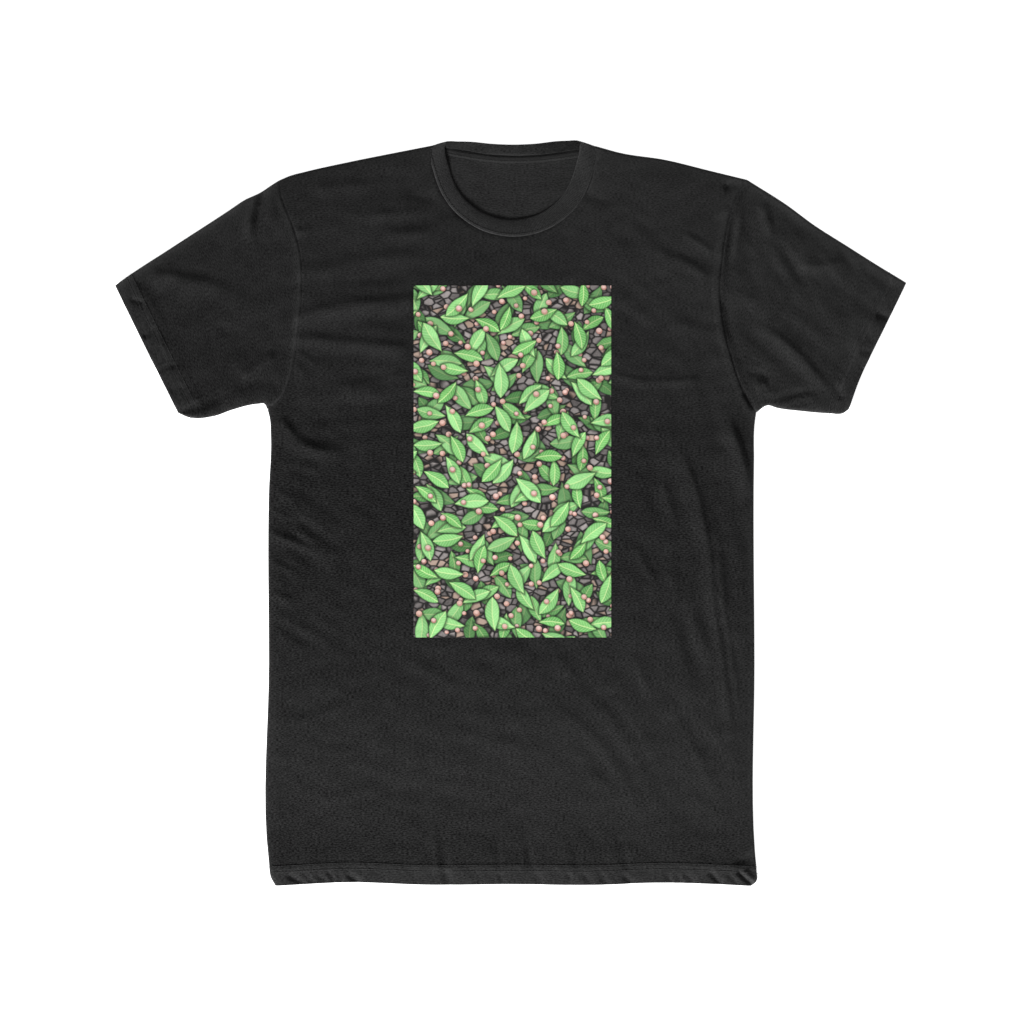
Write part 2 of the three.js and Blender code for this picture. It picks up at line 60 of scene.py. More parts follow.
scene = bpy.context.scene

# Cloth
JERSEY = 0.7  # one layer of knitted jersey
HEM_DEPTH = 19.5  # bottom hem and cuffs, turned in once
HEM_STEP = 1.5  # how far beyond it two layers become one
NEEDLE_ROWS = (13.5, HEM_DEPTH)  # twin-needle rows, from the folded edge
RIB_THICK = 1.6  # the collar's rib, folded in two
RIB_WIDTH = 17.5
NECK_CENTRE = (3, 356.5)
NECK_SEAM_RADIUS = 81.5
PRINT = {"left": -96.5, "right": 100.5, "bottom": -125, "top": 226}
BODY_WIDTH = 478  # the lengths that the points of each piece are spread over
BODY_HEIGHT = 738
SLEEVE_LENGTH = 165
SLEEVE_DEPTH = 150
CUFF_LENGTH = 148
TAPE_LENGTH = 150

# How the shirt lies
EDGE_LEVEL = 1.7  # the height at which front and back meet at a seam or fold
MEETING_GAP = 0.1
THINNEST = 0.04  # what is left of the cloth where its two sides close on an edge
EDGE_ROLL = 2.4  # radius of the turned edge
EDGE_RISE = 1.8  # how much higher the cloth soon is
EDGE_ROUNDING = 5
LOFT_REACH = 52  # how far in the air between front and back is at its fullest
LOFT_BODY = 3.4
LOFT_OPEN_END = 1.6
OPEN_END_REACH = 140
NECK_SINK = 4.6  # how much lower the front lies at the neck
NECK_SINK_REACH = 60
CALM_REACH = 7  # folds and lumps start this far from an edge
SEAM_LIFT = 0.6  # what the seam edges inside lift the cloth over them
SEAM_GROOVE = {"right": 0.14, "left": 0.28, "neck": 0.28}
LUMPS = [(0.85, 120, 90), (0.8, 46, 34), (0.42, 17, 12), (0.13, 7, 5)]  # height, across, up
STITCH_ROOM = 1  # the back is this high over the floor where stitches run under it
STITCH_ROOM_FROM = 24
STITCH_ROOM_TO = 45

# Painted rim light along the closed edges, from the right seam to the left sleeve's top: lighter by,
# reach
EDGE_RIM_LIGHT = [(0.1, 2), (0.5, 3), (0.6, 3), (2, 2.6), (0.6, 3), (1.1, 4)]
SHOULDER_END = 233
# Painted light and shade over broad parts: lighter by, height on the body, reach
BROAD_LIGHT = [(0.1, -240, 70), (-0.28, 20, 170), (-0.17, -345, 35)]

# Outlines seen from above
HEM = [
    (-235, -373.3), (-160, -369.5), (-85, -372), (0, -371.5), (90, -372),
    (140, -370), (185, -370.5), (225, -372.5), (240.5, -373.5),
]
SIDES = {
    "right": {
        "side": [
            (-235, -373.3), (-239.5, -365), (-241.5, -350), (-241.5, -150),
            (-241.5, 20), (-239.5, 75), (-241, 96), (-243, 103),
        ],
        "armhole": [
            (-243, 103), (-234, 107.5), (-226, 117), (-218.8, 134.7), (-213.5, 165),
            (-209.5, 195), (-207.8, 225), (-208.7, 252.7), (-213.5, 275), (-221.8, 297.4),
            (-228.2, 313.3), (-231, 331.5),
        ],
        "shoulder": [
            (-231, 331.5), (-220.5, 336), (-205.5, 340), (-160.5, 350), (-115.5, 359), (-79.5, 366),
        ],
        "sleeve_top": [
            (-231, 331.5), (-236, 328.5), (-250.5, 319), (-265.5, 312), (-280.5, 302),
            (-340.5, 263), (-385.5, 233.5), (-395, 226.5),
        ],
        "sleeve_under": [
            (-243, 103), (-246, 108.2), (-252.5, 108), (-278.5, 102), (-295.5, 96),
            (-322, 94.7), (-332, 99),
        ],
        "cuff": [(-332, 99), (-344, 123.5), (-364, 163.5), (-380, 196), (-395, 226.5)],
    },
    "left": {
        "side": [
            (240.5, -373.5), (245.8, -369), (245.9, -358), (244.4, -340), (243.9, -150),
            (243.4, 50), (244.2, 90), (245.6, 99.5),
        ],
        "armhole": [
            (245.6, 99.5), (240, 107.5), (229.8, 128.1), (221.2, 154), (214.3, 179.8),
            (210.8, 205.6), (209.5, 224.6), (211.7, 248.7), (215.1, 274.5), (219.5, 295.2),
            (224.5, 309), (236.5, 332),
        ],
        "shoulder": [(236.5, 332), (199.5, 341), (154.5, 352), (109.5, 359), (85.5, 365.6)],
        "sleeve_top": [
            (236.5, 332), (244.5, 327), (274.5, 308), (304.5, 286), (334.5, 267), (364.5, 248),
            (395.4, 229.1),
        ],
        "sleeve_under": [
            (245.6, 99.5), (257, 106.5), (266.5, 104), (291.2, 100.8), (318.5, 98.6), (332, 98.6),
            (337.9, 102.6),
        ],
        "cuff": [(337.9, 102.6), (346.9, 128.3), (366.1, 169.6), (377.1, 191.6), (395.4, 229.1)],
    },
}

# Creases: height, half width, lean, share over which it fades in, and out, and the line it follows
BODY_CREASES = [
    (2.7, 8, -0.25, 0, 0.1, [(-209, 195), (-182, 202), (-156, 207), (-129, 209), (-90, 212)]),
    (2.6, 7.5, -0.3, 0, 0.2, [(-210, 173), (-182, 170.5), (-156, 168), (-124, 165), (-92, 163)]),
    (1.8, 7, -0.25, 0.3, 0.2, [(-192, 128), (-156, 126), (-129, 131), (-92, 139)]),
    (1.1, 3.2, -0.1, 0.1, 0.4, [(-213, 159), (-205, 155), (-197, 149), (-191, 144)]),
    (0.8, 3, 0, 0.2, 0.4, [(-214, 147), (-209, 141), (-206, 132)]),
    (1.3, 7, -0.2, 0.2, 0.3, [(-205, 318), (-180, 323), (-150, 326), (-115, 325)]),
    (0.9, 5, -0.2, 0.4, 0.4, [(-165, 294), (-120, 297), (-75, 302)]),
    (0.8, 5, -0.2, 0.4, 0.4, [(-130, 274), (-100, 278), (-68, 281)]),
    (1.5, 3.5, 0, 0.1, 0.4, [(-215, 281), (-206, 279), (-198, 286)]),
    (1.5, 8, -0.2, 0, 0.4, [(-208, 240), (-160, 247), (-119, 253), (-77, 261)]),
    (-1.4, 6, 0, 0, 0.6, [(-80, 314), (-92, 316), (-106, 320)]),
    (-1.3, 5.5, 0, 0, 0.6, [(78, 317), (90, 312), (110, 306)]),
    (2.9, 7, -0.35, 0.05, 0.45, [(-231, 94), (-217, 76), (-200, 64), (-180, 60), (-152, 61)]),
    (1.3, 5, 0, 0.2, 0.5, [(-232, 48), (-210, 46), (-185, 39)]),
    (1.5, 4, -0.2, 0, 0.6, [(-238, 24), (-224, 16), (-208, 6)]),
    (1.3, 3.5, -0.2, 0, 0.6, [(-239, 2), (-228, -3), (-215, -8)]),
    (2.8, 4.2, -0.3, 0, 0.4, [(-239, -21), (-219, -29), (-198, -37), (-184, -42)]),
    (1.7, 4, -0.2, 0, 0.5, [(-239, -50), (-222, -57), (-205, -66)]),
    (1.4, 4, -0.2, 0, 0.6, [(-239, -80), (-226, -86), (-213, -95)]),
    (1.1, 5, -0.2, 0.3, 0.3, [(158, 257), (180, 246), (192, 238), (206, 231)]),
    (1.4, 4, -0.2, 0.3, 0.2, [(166, 280), (186, 270), (204, 257)]),
    (1.4, 4.5, -0.4, 0.1, 0.3, [(100.5, 137), (128, 131.5), (165, 130.5), (202, 134)]),
    (-3.1, 4.5, 0, 0.2, 0.4, [(212, 323), (222, 327.5), (232, 328)]),
    (1.7, 3.5, 0, 0.3, 0.5, [(219, 307), (211, 298), (201, 292)]),
    (3.6, 6, -0.5, 0.4, 0.2, [(214, 106), (222, 82), (231, 56), (237, 34), (241, 12)]),
    (1.7, 4.5, -0.35, 0.1, 0.3, [
        (168, 68), (175, 50), (186, 19), (194, -17), (199.5, -49), (202, -86), (208, -123), (216, -181),
        (225, -260),
    ]),
    (1, 4, -0.3, 0.2, 0.4, [(208, -18), (214, -102), (222, -154), (232, -233)]),
    (1.3, 4.5, -0.2, 0.3, 0.4, [(150, 38), (158, 9), (167, -20)]),
    (1, 4.5, -0.2, 0.2, 0.3, [(124, -31), (135, -56), (150, -73)]),
    (0.7, 3.5, -0.2, 0.3, 0.4, [(119, -133), (135, -171), (142, -188)]),
    (0.55, 5, -0.2, 0.3, 0.4, [(34, -183), (68, -211), (84, -227), (95, -243)]),
    (0.6, 5, -0.2, 0.3, 0.5, [(42, -140), (58, -158), (70, -176)]),
    (0.6, 4.5, -0.2, 0.3, 0.5, [(158, -190), (176, -222), (196, -262), (211, -289), (219, -308)]),
    (0.9, 5, -0.2, 0.6, 0, [(-77, -296), (-75, -326), (-73, -352)]),
    (-0.9, 4.5, 0, 0.6, 0, [(-68, -318), (-67, -338), (-66, -352)]),
    (-0.7, 3.5, 0, 0.6, 0, [(-14.5, -312), (-13.5, -334), (-11.5, -352)]),
    (-1.1, 4, 0, 0.6, 0, [(14, -322), (18, -338), (21, -352)]),
    (-0.8, 4, 0, 0.6, 0, [(109, -318), (112, -336), (115, -352)]),
    (-0.8, 3.5, 0, 0.6, 0, [(62, -322), (64, -338), (66, -352)]),
    (-2.8, 4, 0, 0.5, 0, [(219.5, -350), (230.5, -348), (244.5, -342)]),
]
SLEEVE_CREASES = [
    (3.6, 5, -0.3, 0, 0.5, [(-253, 314), (-258.5, 291), (-263, 268)]),
    (-2, 3, 0, 0, 0.5, [(-248, 317), (-253.5, 296), (-258, 275)]),
    (1.3, 4.5, -0.2, 0, 0.5, [(-236, 322), (-239, 302), (-243, 280)]),
    (2.5, 8.5, -0.35, 0.1, 0.7, [
        (-368, 238), (-341, 235.5), (-319, 231), (-297, 226), (-280, 219), (-262, 209), (-245, 198),
    ]),
    (-1.3, 4.5, 0, 0.2, 0.5, [(-373, 232), (-364, 225), (-353, 213)]),
    (-3.4, 5, 0, 0, 0.4, [(-333, 99), (-322, 101), (-307, 105), (-291, 116), (-280, 127)]),
    (1.8, 6, 0, 0.3, 0.3, [(-290, 104), (-276, 112), (-262, 120)]),
    (2.3, 5.5, -0.2, 0.2, 0.2, [(-271, 134), (-251, 146), (-234, 160)]),
    (-1.3, 5, 0, 0.2, 0.2, [(-264, 127), (-250, 129), (-231, 129)]),
    (-1.2, 6, 0, 0.3, 0.3, [(-297, 186), (-280, 182), (-262, 178)]),
    (2.3, 6.5, -0.3, 0.2, 0.3, [
        (243, 190), (262, 177), (281, 162), (300, 141.5), (312, 128), (323, 116),
    ]),
    (-1.7, 3, 0, 0.2, 0.3, [(222, 298), (221, 280), (218.5, 262), (215, 240)]),
    (2, 3.2, 0, 0.2, 0.4, [(231, 308), (228.5, 292), (225.5, 270), (221, 246)]),
    (2.1, 4, -0.2, 0.2, 0.5, [(251, 310), (256, 292), (262, 270)]),
    (-1.3, 6, 0, 0.3, 0.4, [(243, 290), (238, 262), (233, 234)]),
    (-1.5, 4, 0, 0.3, 0.3, [(211.5, 224), (214.5, 202), (219, 177), (223, 163)]),
    (-2.2, 3.2, 0, 0.2, 0.1, [(231, 122), (237, 113), (243, 102)]),
    (2.1, 4, 0, 0.3, 0.3, [(243, 122), (251, 127), (258, 128)]),
    (-1.4, 3.5, 0, 0.3, 0.3, [(235, 140), (247, 138), (259, 136)]),
    (-2.6, 3.5, 0, 0.1, 0.4, [(252, 110), (268, 113), (284, 118), (311, 122.5)]),
    (-2.1, 3.2, 0, 0.3, 0.3, [(276, 105), (290, 108), (302, 112)]),
    (-2.1, 4, 0, 0.5, 0.1, [(322, 128), (327, 122), (331, 112)]),
    (1.3, 5, -0.2, 0.3, 0.3, [(282, 247), (310, 245), (335, 252)]),
    (1.3, 6, 0, 0.2, 0.3, [(376, 232), (366, 212), (356, 193), (346, 172), (338, 150)]),
]
# Fields of soft crumples: centre, reach across and up, direction in degrees, length, spacing and height
CRUMPLES = [
    (-170, 160, 80, 90, 6, 60, 12, 1.5),
    (-140, 290, 90, 50, 8, 80, 13, 1.7),
    (-205, -60, 45, 110, -32, 34, 8.5, 1.5),
    (-190, -190, 60, 90, 20, 34, 8.5, 0.7),
    (-60, -200, 150, 110, -14, 60, 13, 0.6),
    (165, 245, 60, 70, -28, 60, 11, 1.3),
    (150, 90, 70, 70, -12, 60, 12, 0.6),
    (190, -40, 50, 160, -74, 80, 11, 1.5),
    (120, -230, 120, 120, -55, 60, 12, 0.6),
    (0, 330, 140, 40, -8, 60, 12, 0.8),
    (-310, 170, 80, 90, 38, 50, 12, 1.3),
    (300, 190, 90, 90, -40, 50, 12, 1.3),
    (290, 250, 60, 40, -58, 40, 9, 1.3),
]
HEM_PUCKERS = [
    (-1.8, 3.2, 0.2, 0.2, 0, [(-224.5, -362), (-216.5, -366), (-207.5, -370)]),
    (-1.2, 2.4, 0.2, 0.2, 0, [(-207.5, -359), (-203.5, -364), (-198.5, -369)]),
    (-1.2, 2.4, 0.2, 0.2, 0, [(-194.5, -361), (-189.5, -365), (-184.5, -369)]),
    (-1.6, 2.4, 0.2, 0.2, 0, [(-183.5, -358), (-179.5, -363), (-175.5, -369)]),
    (-1.2, 2.2, 0.2, 0.2, 0, [(-173.5, -360), (-170.5, -364), (-167.5, -369)]),
    (-1.8, 3, 0.2, 0.2, 0, [(-164.5, -361), (-158.5, -365), (-151.5, -369)]),
    (-1.2, 4, 0, 0.2, 0, [(-66.5, -357), (-63.5, -363), (-61.5, -370)]),
    (-1.2, 2, 0, 0.2, 0, [(-10.5, -360), (-9.5, -365), (-7.5, -371)]),
    (-0.8, 3.5, 0, 0.2, 0, [(26.5, -360), (28.5, -365), (30.5, -371)]),
    (-1.2, 2.4, 0, 0.2, 0, [(56.5, -360), (58.5, -365), (59.5, -371)]),
    (-1.2, 2.8, 0.2, 0.2, 0, [(72.5, -361), (75.5, -365), (79.5, -370)]),
    (-1, 3, 0, 0.2, 0, [(90.5, -360), (92.5, -365), (94.5, -370)]),
    (-1.4, 2.8, 0.2, 0.2, 0, [(111.5, -361), (115.5, -365), (120.5, -370)]),
    (-1, 2, 0.2, 0.2, 0, [(154.5, -361), (157.5, -365), (160.5, -370)]),
    (-1, 2, 0.2, 0.2, 0, [(164.5, -361), (167.5, -365), (170.5, -370)]),
    (-1, 2.2, 0.2, 0.2, 0, [(174.5, -361), (178.5, -365), (182.5, -370)]),
    (-1.8, 3, 0.2, 0.2, 0, [(197.5, -358), (202.5, -364), (208.5, -370)]),
    (-1, 2.6, 0.2, 0.2, 0, [(216.5, -361), (220.5, -365), (224.5, -370)]),
    (-2.4, 2.2, 0.3, 0.1, 0, [(225.5, -359), (232.5, -365), (240.5, -372)]),
    (1.6, 2.2, 0, 0.1, 0.1, [(231.5, -358), (237.5, -363), (243.5, -368)]),
]
CUFF_PUCKERS = [
    (-1.4, 2.6, 0, 0.1, 0.3, [(-380, 213), (-374, 211), (-364, 208)]),
    (-1.8, 2.5, 0.1, 0.1, 0.4, [(-366.5, 174), (-361, 178), (-352, 185)]),
    (-1.3, 2.6, 0.1, 0, 0.4, [(-350.5, 141), (-343, 144), (-335, 146), (-329, 150)]),
    (-2.2, 3.2, 0.1, 0, 0.2, [(-332, 98), (-323.5, 102), (-311.5, 110)]),
    (-1, 3.2, 0, 0.2, 0.4, [(-360.5, 160), (-354.5, 163), (-347.5, 165)]),
    (-1.2, 3.2, 0, 0.2, 0.4, [(-340.5, 120), (-332.5, 124), (-324.5, 127)]),
    (-1.6, 3.7, 0, 0.2, 0.4, [(363.5, 198), (373.5, 196), (382.5, 192)]),
    (-1.4, 3.7, 0, 0.2, 0.4, [(347.5, 160), (355.5, 160), (363.5, 157)]),
]


# Lines and places on the plan

def smooth_line(points, steps=8, closed=False):
    """A smooth line through points, with steps pieces between each two of them."""
    p = np.array(points, float)
    ends = (p[-1:], p[:2]) if closed else (2 * p[:1] - p[1:2], 2 * p[-1:] - p[-2:-1])
    p = np.vstack([ends[0], p, ends[1]])
    gap = np.linalg.norm(np.diff(p, axis=0), axis=1)[:, None]
    slope = np.diff(p, axis=0) / gap
    way = (slope[:-1] * gap[1:] + slope[1:] * gap[:-1]) / (gap[:-1] + gap[1:])
    t = (np.arange(steps) / steps)[:, None]
    spans = [
        (2 * t**3 - 3 * t**2 + 1) * a + (t**3 - 2 * t**2 + t) * g * way_a
        + (3 * t**2 - 2 * t**3) * b + (t**3 - t**2) * g * way_b
        for a, b, g, way_a, way_b in zip(p[1:], p[2:], gap[1:], way, way[1:])
    ]
    return np.vstack(spans if closed else [*spans, p[-2:-1]])


def unit(vectors):
    return vectors / np.linalg.norm(vectors, axis=-1, keepdims=True)


def lengths_along(line):
    return np.concatenate([[0], np.cumsum(np.linalg.norm(np.diff(line, axis=0), axis=1))])


def along(line, shares):
    """Points at shares, 0 to 1, of a line's length."""
    lengths = lengths_along(line)
    at = np.asarray(shares) * lengths[-1]
    return np.stack([np.interp(at, lengths, line[:, k]) for k in range(line.shape[1])], axis=-1)


def nearest(line, x, y):
    """For each place: its distance to a line, the line's share there, and its side, 1 on the left."""
    start, step = line[:-1], np.diff(line, axis=0)
    square = (step**2).sum(1)
    lengths = lengths_along(line)
    away, share, side = (np.empty(x.size) for _ in range(3))
    for first in range(0, x.size, 8192):
        part = slice(first, first + 8192)
        px = x[part, None] - start[:, 0]
        py = y[part, None] - start[:, 1]
        t = np.clip((px * step[:, 0] + py * step[:, 1]) / square, 0, 1)
        dx = px - t * step[:, 0]
        dy = py - t * step[:, 1]
        gap = dx * dx + dy * dy
        best = gap.argmin(1)
        row = np.arange(best.size)
        away[part] = np.sqrt(gap[row, best])
        share[part] = (lengths[best] + t[row, best] * np.sqrt(square[best])) / lengths[-1]
        side[part] = np.sign(step[best, 0] * dy[row, best] - step[best, 1] * dx[row, best])
    return away, share, side


def ease(value, low, high):
    """0 below low, 1 above high, and smooth between them."""
    t = np.clip((value - low) / (high - low), 0, 1)
    return t * t * (3 - 2 * t)


def bump(value, middle, width):
    return np.exp(-(((value - middle) / width) ** 2))


def quarter_round(away, radius):
    return np.sqrt(1 - (1 - np.clip(away / radius, 0, 1)) ** 2)


def soft_noise(x, y, wide, high, seed):
    """Smooth random heights from -1 to 1, in lumps of wide by high millimetres."""
    table = np.random.default_rng(seed).uniform(-1, 1, (256, 256))
    gx, gy = x / wide + 131.7, y / high + 117.3
    ix, iy = np.floor(gx).astype(int), np.floor(gy).astype(int)
    fx, fy = ease(gx - ix, 0, 1), ease(gy - iy, 0, 1)
    corner = lambda i, j: table[(iy + j) % 256, (ix + i) % 256]
    low = corner(0, 0) * (1 - fx) + corner(1, 0) * fx
    high_row = corner(0, 1) * (1 - fx) + corner(1, 1) * fx
    return low * (1 - fy) + high_row * fy


LINES = {side: {name: smooth_line(points) for name, points in SIDES[side].items()} for side in SIDES}
HEM_LINE = smooth_line(HEM)
CLOSED_EDGES = [
    line
    for side in LINES.values()
    for line in (
        side["side"],
        side["sleeve_under"],
        np.vstack([side["sleeve_top"][::-1], side["shoulder"][1:]]),
    )
]
INWARD = {"right": 1, "left": -1}  # the way from an armhole into the body along X


class Spots:
    """Places on the plan, with their distances to the shirt's edges and seams."""

    def __init__(self, plan):
        self.x, self.y = (np.ravel(plan[..., k]).astype(float) for k in range(2))
        self.closed = [nearest(line, self.x, self.y)[0] for line in CLOSED_EDGES]
        self.edge = np.minimum.reduce(self.closed)
        self.hem = nearest(HEM_LINE, self.x, self.y)[0]
        self.cuff = np.minimum(*(nearest(LINES[side]["cuff"], self.x, self.y)[0] for side in LINES))
        self.end = np.minimum(self.hem, self.cuff)
        self.neck = np.hypot(self.x - NECK_CENTRE[0], self.y - NECK_CENTRE[1])
        right, left = (nearest(LINES[side]["armhole"], self.x, self.y) for side in LINES)
        self.armhole = np.minimum(right[0], left[0])
        self.on_body = np.where(
            right[0] < left[0], right[2] * -INWARD["right"], left[2] * -INWARD["left"]
        )


def creases(spots, folds):
    """The heights of a list of creases at some places."""
    z = np.zeros(spots.x.size)
    for height, width, lean, fade_in, fade_out, points in folds:
        line = smooth_line(points, 5)
        low, high = line.min(0) - 3 * width, line.max(0) + 3 * width
        near = np.flatnonzero(
            (spots.x > low[0]) & (spots.x < high[0]) & (spots.y > low[1]) & (spots.y < high[1])
        )
        if not near.size:
            continue
        away, share, side = nearest(line, spots.x[near], spots.y[near])
        ramp = 1.0
        if fade_in:
            ramp = ramp * ease(share, 0, fade_in)
        if fade_out:
            ramp = ramp * ease(1 - share, 0, fade_out)
        z[near] += height * ramp * np.exp(-((away / (width * (1 + lean * side))) ** 2))
    return z


def soft_crumples(x, y):
    """The heights of the fields of crumples: ridges that run one way, wander and fade out."""
    z = np.zeros(x.size)
    wander = 9 * soft_noise(x, y, 70, 70, 60)
    for seed, field in enumerate(CRUMPLES, 61):
        middle_x, middle_y, reach_x, reach_y, degrees, length, spacing, height = field
        near = np.exp(-(((x - middle_x) / reach_x) ** 2) - ((y - middle_y) / reach_y) ** 2)
        way = math.radians(degrees)
        forward = x * math.cos(way) + y * math.sin(way)
        across = y * math.cos(way) - x * math.sin(way) + wander
        z += height * near * soft_noise(forward, across, length, spacing, seed)
    return z


def turned_hem(spots, from_edge, seed, slant):
    """The relief of a turned hem or cuff: a puffed and puckered band with two needle rows."""
    first_row, last_row = NEEDLE_ROWS
    last = HEM_DEPTH + HEM_STEP
    z = 0.4 * (1 - ease(from_edge, HEM_DEPTH, last + 0.6))
    z -= 0.22 * bump(from_edge, last_row + 0.2, 0.9) + 0.06 * bump(from_edge, first_row, 0.9)
    z += 0.15 * np.sin(math.pi * np.clip(from_edge / first_row, 0, 1))
    across = spots.x + slant * spots.y
    pull = soft_noise(across, spots.y, 3.1, 24, seed)
    pull += 0.7 * soft_noise(across, spots.y, 6.5, 40, seed + 1)
    z += 0.16 * pull * (1 - ease(from_edge, HEM_DEPTH - 1, last + 1))
    zigzag = np.abs((spots.x / 2.6) % 1 - 0.5) * 4 - 1
    z += 0.1 * zigzag * bump(from_edge, (first_row + last_row) / 2, 2.2)
    return np.where(from_edge < last + 2, z - JERSEY * (1 - quarter_round(from_edge, JERSEY)), 0)


def front_height(spots):
    """The top side of the front and of the sleeves."""
    rim, loft = 1.0, 1.0
    for away in spots.closed:
        rim = rim * (1 - np.exp(-away / EDGE_ROUNDING))
        loft = loft * (1 - np.exp(-away / LOFT_REACH))
    share = ease(spots.end, 0, OPEN_END_REACH)
    sink = NECK_SINK * np.exp(-np.clip(spots.neck - NECK_SEAM_RADIUS, 0, None) / NECK_SINK_REACH)
    z = EDGE_LEVEL + EDGE_ROLL * quarter_round(spots.edge, EDGE_ROLL) + EDGE_RISE * rim
    z += loft * (LOFT_OPEN_END + (LOFT_BODY - LOFT_OPEN_END) * share - sink)
    x, y = spots.x, spots.y
    lumps = sum(height * soft_noise(x, y, *size, 11 + k) for k, (height, *size) in enumerate(LUMPS))
    calm = 1 - np.exp(-spots.edge / CALM_REACH)
    z += calm * (lumps + soft_crumples(x, y) + creases(spots, BODY_CREASES + SLEEVE_CREASES))
    z += creases(spots, HEM_PUCKERS + CUFF_PUCKERS) * (1 - np.exp(-spots.edge / 2))
    z += turned_hem(spots, spots.hem, 21, 0.8) + turned_hem(spots, spots.cuff, 31, 0.3)
    seam = spots.armhole
    body, right = spots.on_body > 0, x < 0
    for falls_from, falls_to, lifted in ((6.8, 8.6, body & ~right), (4.2, 6.4, ~body & right)):
        lift = SEAM_LIFT * ease(seam, 0.8, 2.2) * (1 - ease(seam, falls_from, falls_to))
        z += calm * lift * lifted
    z -= calm * np.where(right, SEAM_GROOVE["right"], SEAM_GROOVE["left"]) * bump(seam, 0, 1)
    from_neck = spots.neck - NECK_SEAM_RADIUS
    z -= SEAM_GROOVE["neck"] * bump(from_neck, 1.4, 0.8)
    z -= 2 * JERSEY * (1 - ease(from_neck, -0.9, 0.9))
    return z


def back_height(spots):
    """The underside of the back and of the sleeves."""
    lift = STITCH_ROOM * (1 - ease(spots.end, STITCH_ROOM_FROM, STITCH_ROOM_TO))
    ripple = 0.12 * (1 + soft_noise(spots.x, spots.y, 60, 45, 41)) * ease(spots.edge, 2, 12)
    level = EDGE_LEVEL - MEETING_GAP
    z = lift + ripple + (level - lift) * (1 - quarter_round(spots.edge, 2.2))
    return z + JERSEY * (1 - quarter_round(spots.end, JERSEY))


def thickness(spots):
    """One layer of cloth, or two where the hem and the cuffs are turned in, rounded at the fold."""
    layers = 2 - ease(spots.end, HEM_DEPTH, HEM_DEPTH + HEM_STEP)
    return JERSEY * layers - 2 * JERSEY * (1 - quarter_round(spots.end, JERSEY)) * 0.98


def front_inside(spots, top):
    return np.maximum(top - thickness(spots), np.minimum(EDGE_LEVEL, top - THINNEST))


def back_inside(spots, low):
    mottle = 0.22 * soft_noise(spots.x, spots.y, 13, 9, 42) * ease(spots.edge, 2, 20)
    inside = low + thickness(spots) + mottle
    return np.minimum(inside, np.maximum(EDGE_LEVEL - MEETING_GAP, low + THINNEST))


def wear_and_painted_light(spots):
    """How much lighter the cloth is painted: painted light and shade along edges, seams, ridges, the
    collar and broad parts, with some wear on ridges and the turned hem.
    """
    hem, cuff, neck = spots.hem, spots.cuff, spots.neck - NECK_SEAM_RADIUS
    body, right, seam = spots.on_body > 0, spots.x < 0, spots.armhole
    first_row, last_row = NEEDLE_ROWS
    # The hem, lighter partly from wear and partly painted light, and a painted shade line over it
    light = 0.52 * (1 - ease(hem, HEM_DEPTH - 3.5, HEM_DEPTH + 1)) + 0.25 * bump(hem, first_row, 3)
    light -= 0.15 * bump(hem, last_row + 1.2, 0.9)
    # The cuffs: lighter bands, the right one more, partly wear and partly painted light; painted rim
    # light at the edges and painted highlight and shade lines
    light += (0.12 + 0.08 * right) * (1 - ease(cuff, HEM_DEPTH - 2, HEM_DEPTH + 1))
    light += (0.3 + 0.5 * right) * np.exp(-cuff / 1.8) - 0.25 * right * bump(cuff, 26.5, 1.2)
    light += 0.35 * bump(cuff, first_row + 1.2, 1.1) - 0.12 * bump(cuff, first_row + 3, 0.8)
    # Painted rim light along folded and sewn edges, and a painted highlight on the sleeves' tops
    for away, (rim, reach) in zip(spots.closed, EDGE_RIM_LIGHT):
        light = light + rim * np.exp(-away / reach)
    tops = np.minimum(spots.closed[2], spots.closed[5])
    light += 1.7 * np.exp(-tops / 4.5) * (np.abs(spots.x) > SHOULDER_END)
    # Ridges lighter, partly wear and partly painted light, and painted shade in the valleys
    folds = creases(spots, BODY_CREASES + SLEEVE_CREASES)
    light += 0.06 * np.clip(folds, 0, None) + 0.04 * np.clip(folds, None, 0)
    # Painted highlights and shade beside the armholes
    light += 0.7 * bump(seam, 2.3, 1.2) * (~body & right)
    light += 0.1 * bump(seam, 0.8, 0.8) * (body & right)
    light += 0.22 * bump(seam, 4.5, 2.4) * (body & ~right)
    light -= 0.3 * bump(seam, 3.5, 4) * (~body & ~right)
    # Painted light round the collar's seam, and painted light with a random tone on the back that shows
    # inside it
    light += 0.22 * np.exp(-np.clip(neck, 0, None) / 6) * (neck > -1)
    light += (0.14 + 0.16 * soft_noise(spots.x, spots.y, 42, 8, 71)) * (neck < -4)
    # Painted light and shade over broad parts, from hem to chest and from right to left
    for height, middle, reach in BROAD_LIGHT:
        light += height * bump(spots.y, middle, reach)
    light += 0.16 * np.clip(spots.x / 300, -1, 1)
    return light


# Meshes

def placed(name, data):
    """A new object in the scene."""
    thing = bpy.data.objects.new(name, data)
    scene.collection.objects.link(thing)
    return thing


def set_values(mesh, name, values):
    layer = mesh.attributes.new(name, "FLOAT", "POINT")
    layer.data.foreach_set("value", values.astype(np.float32))


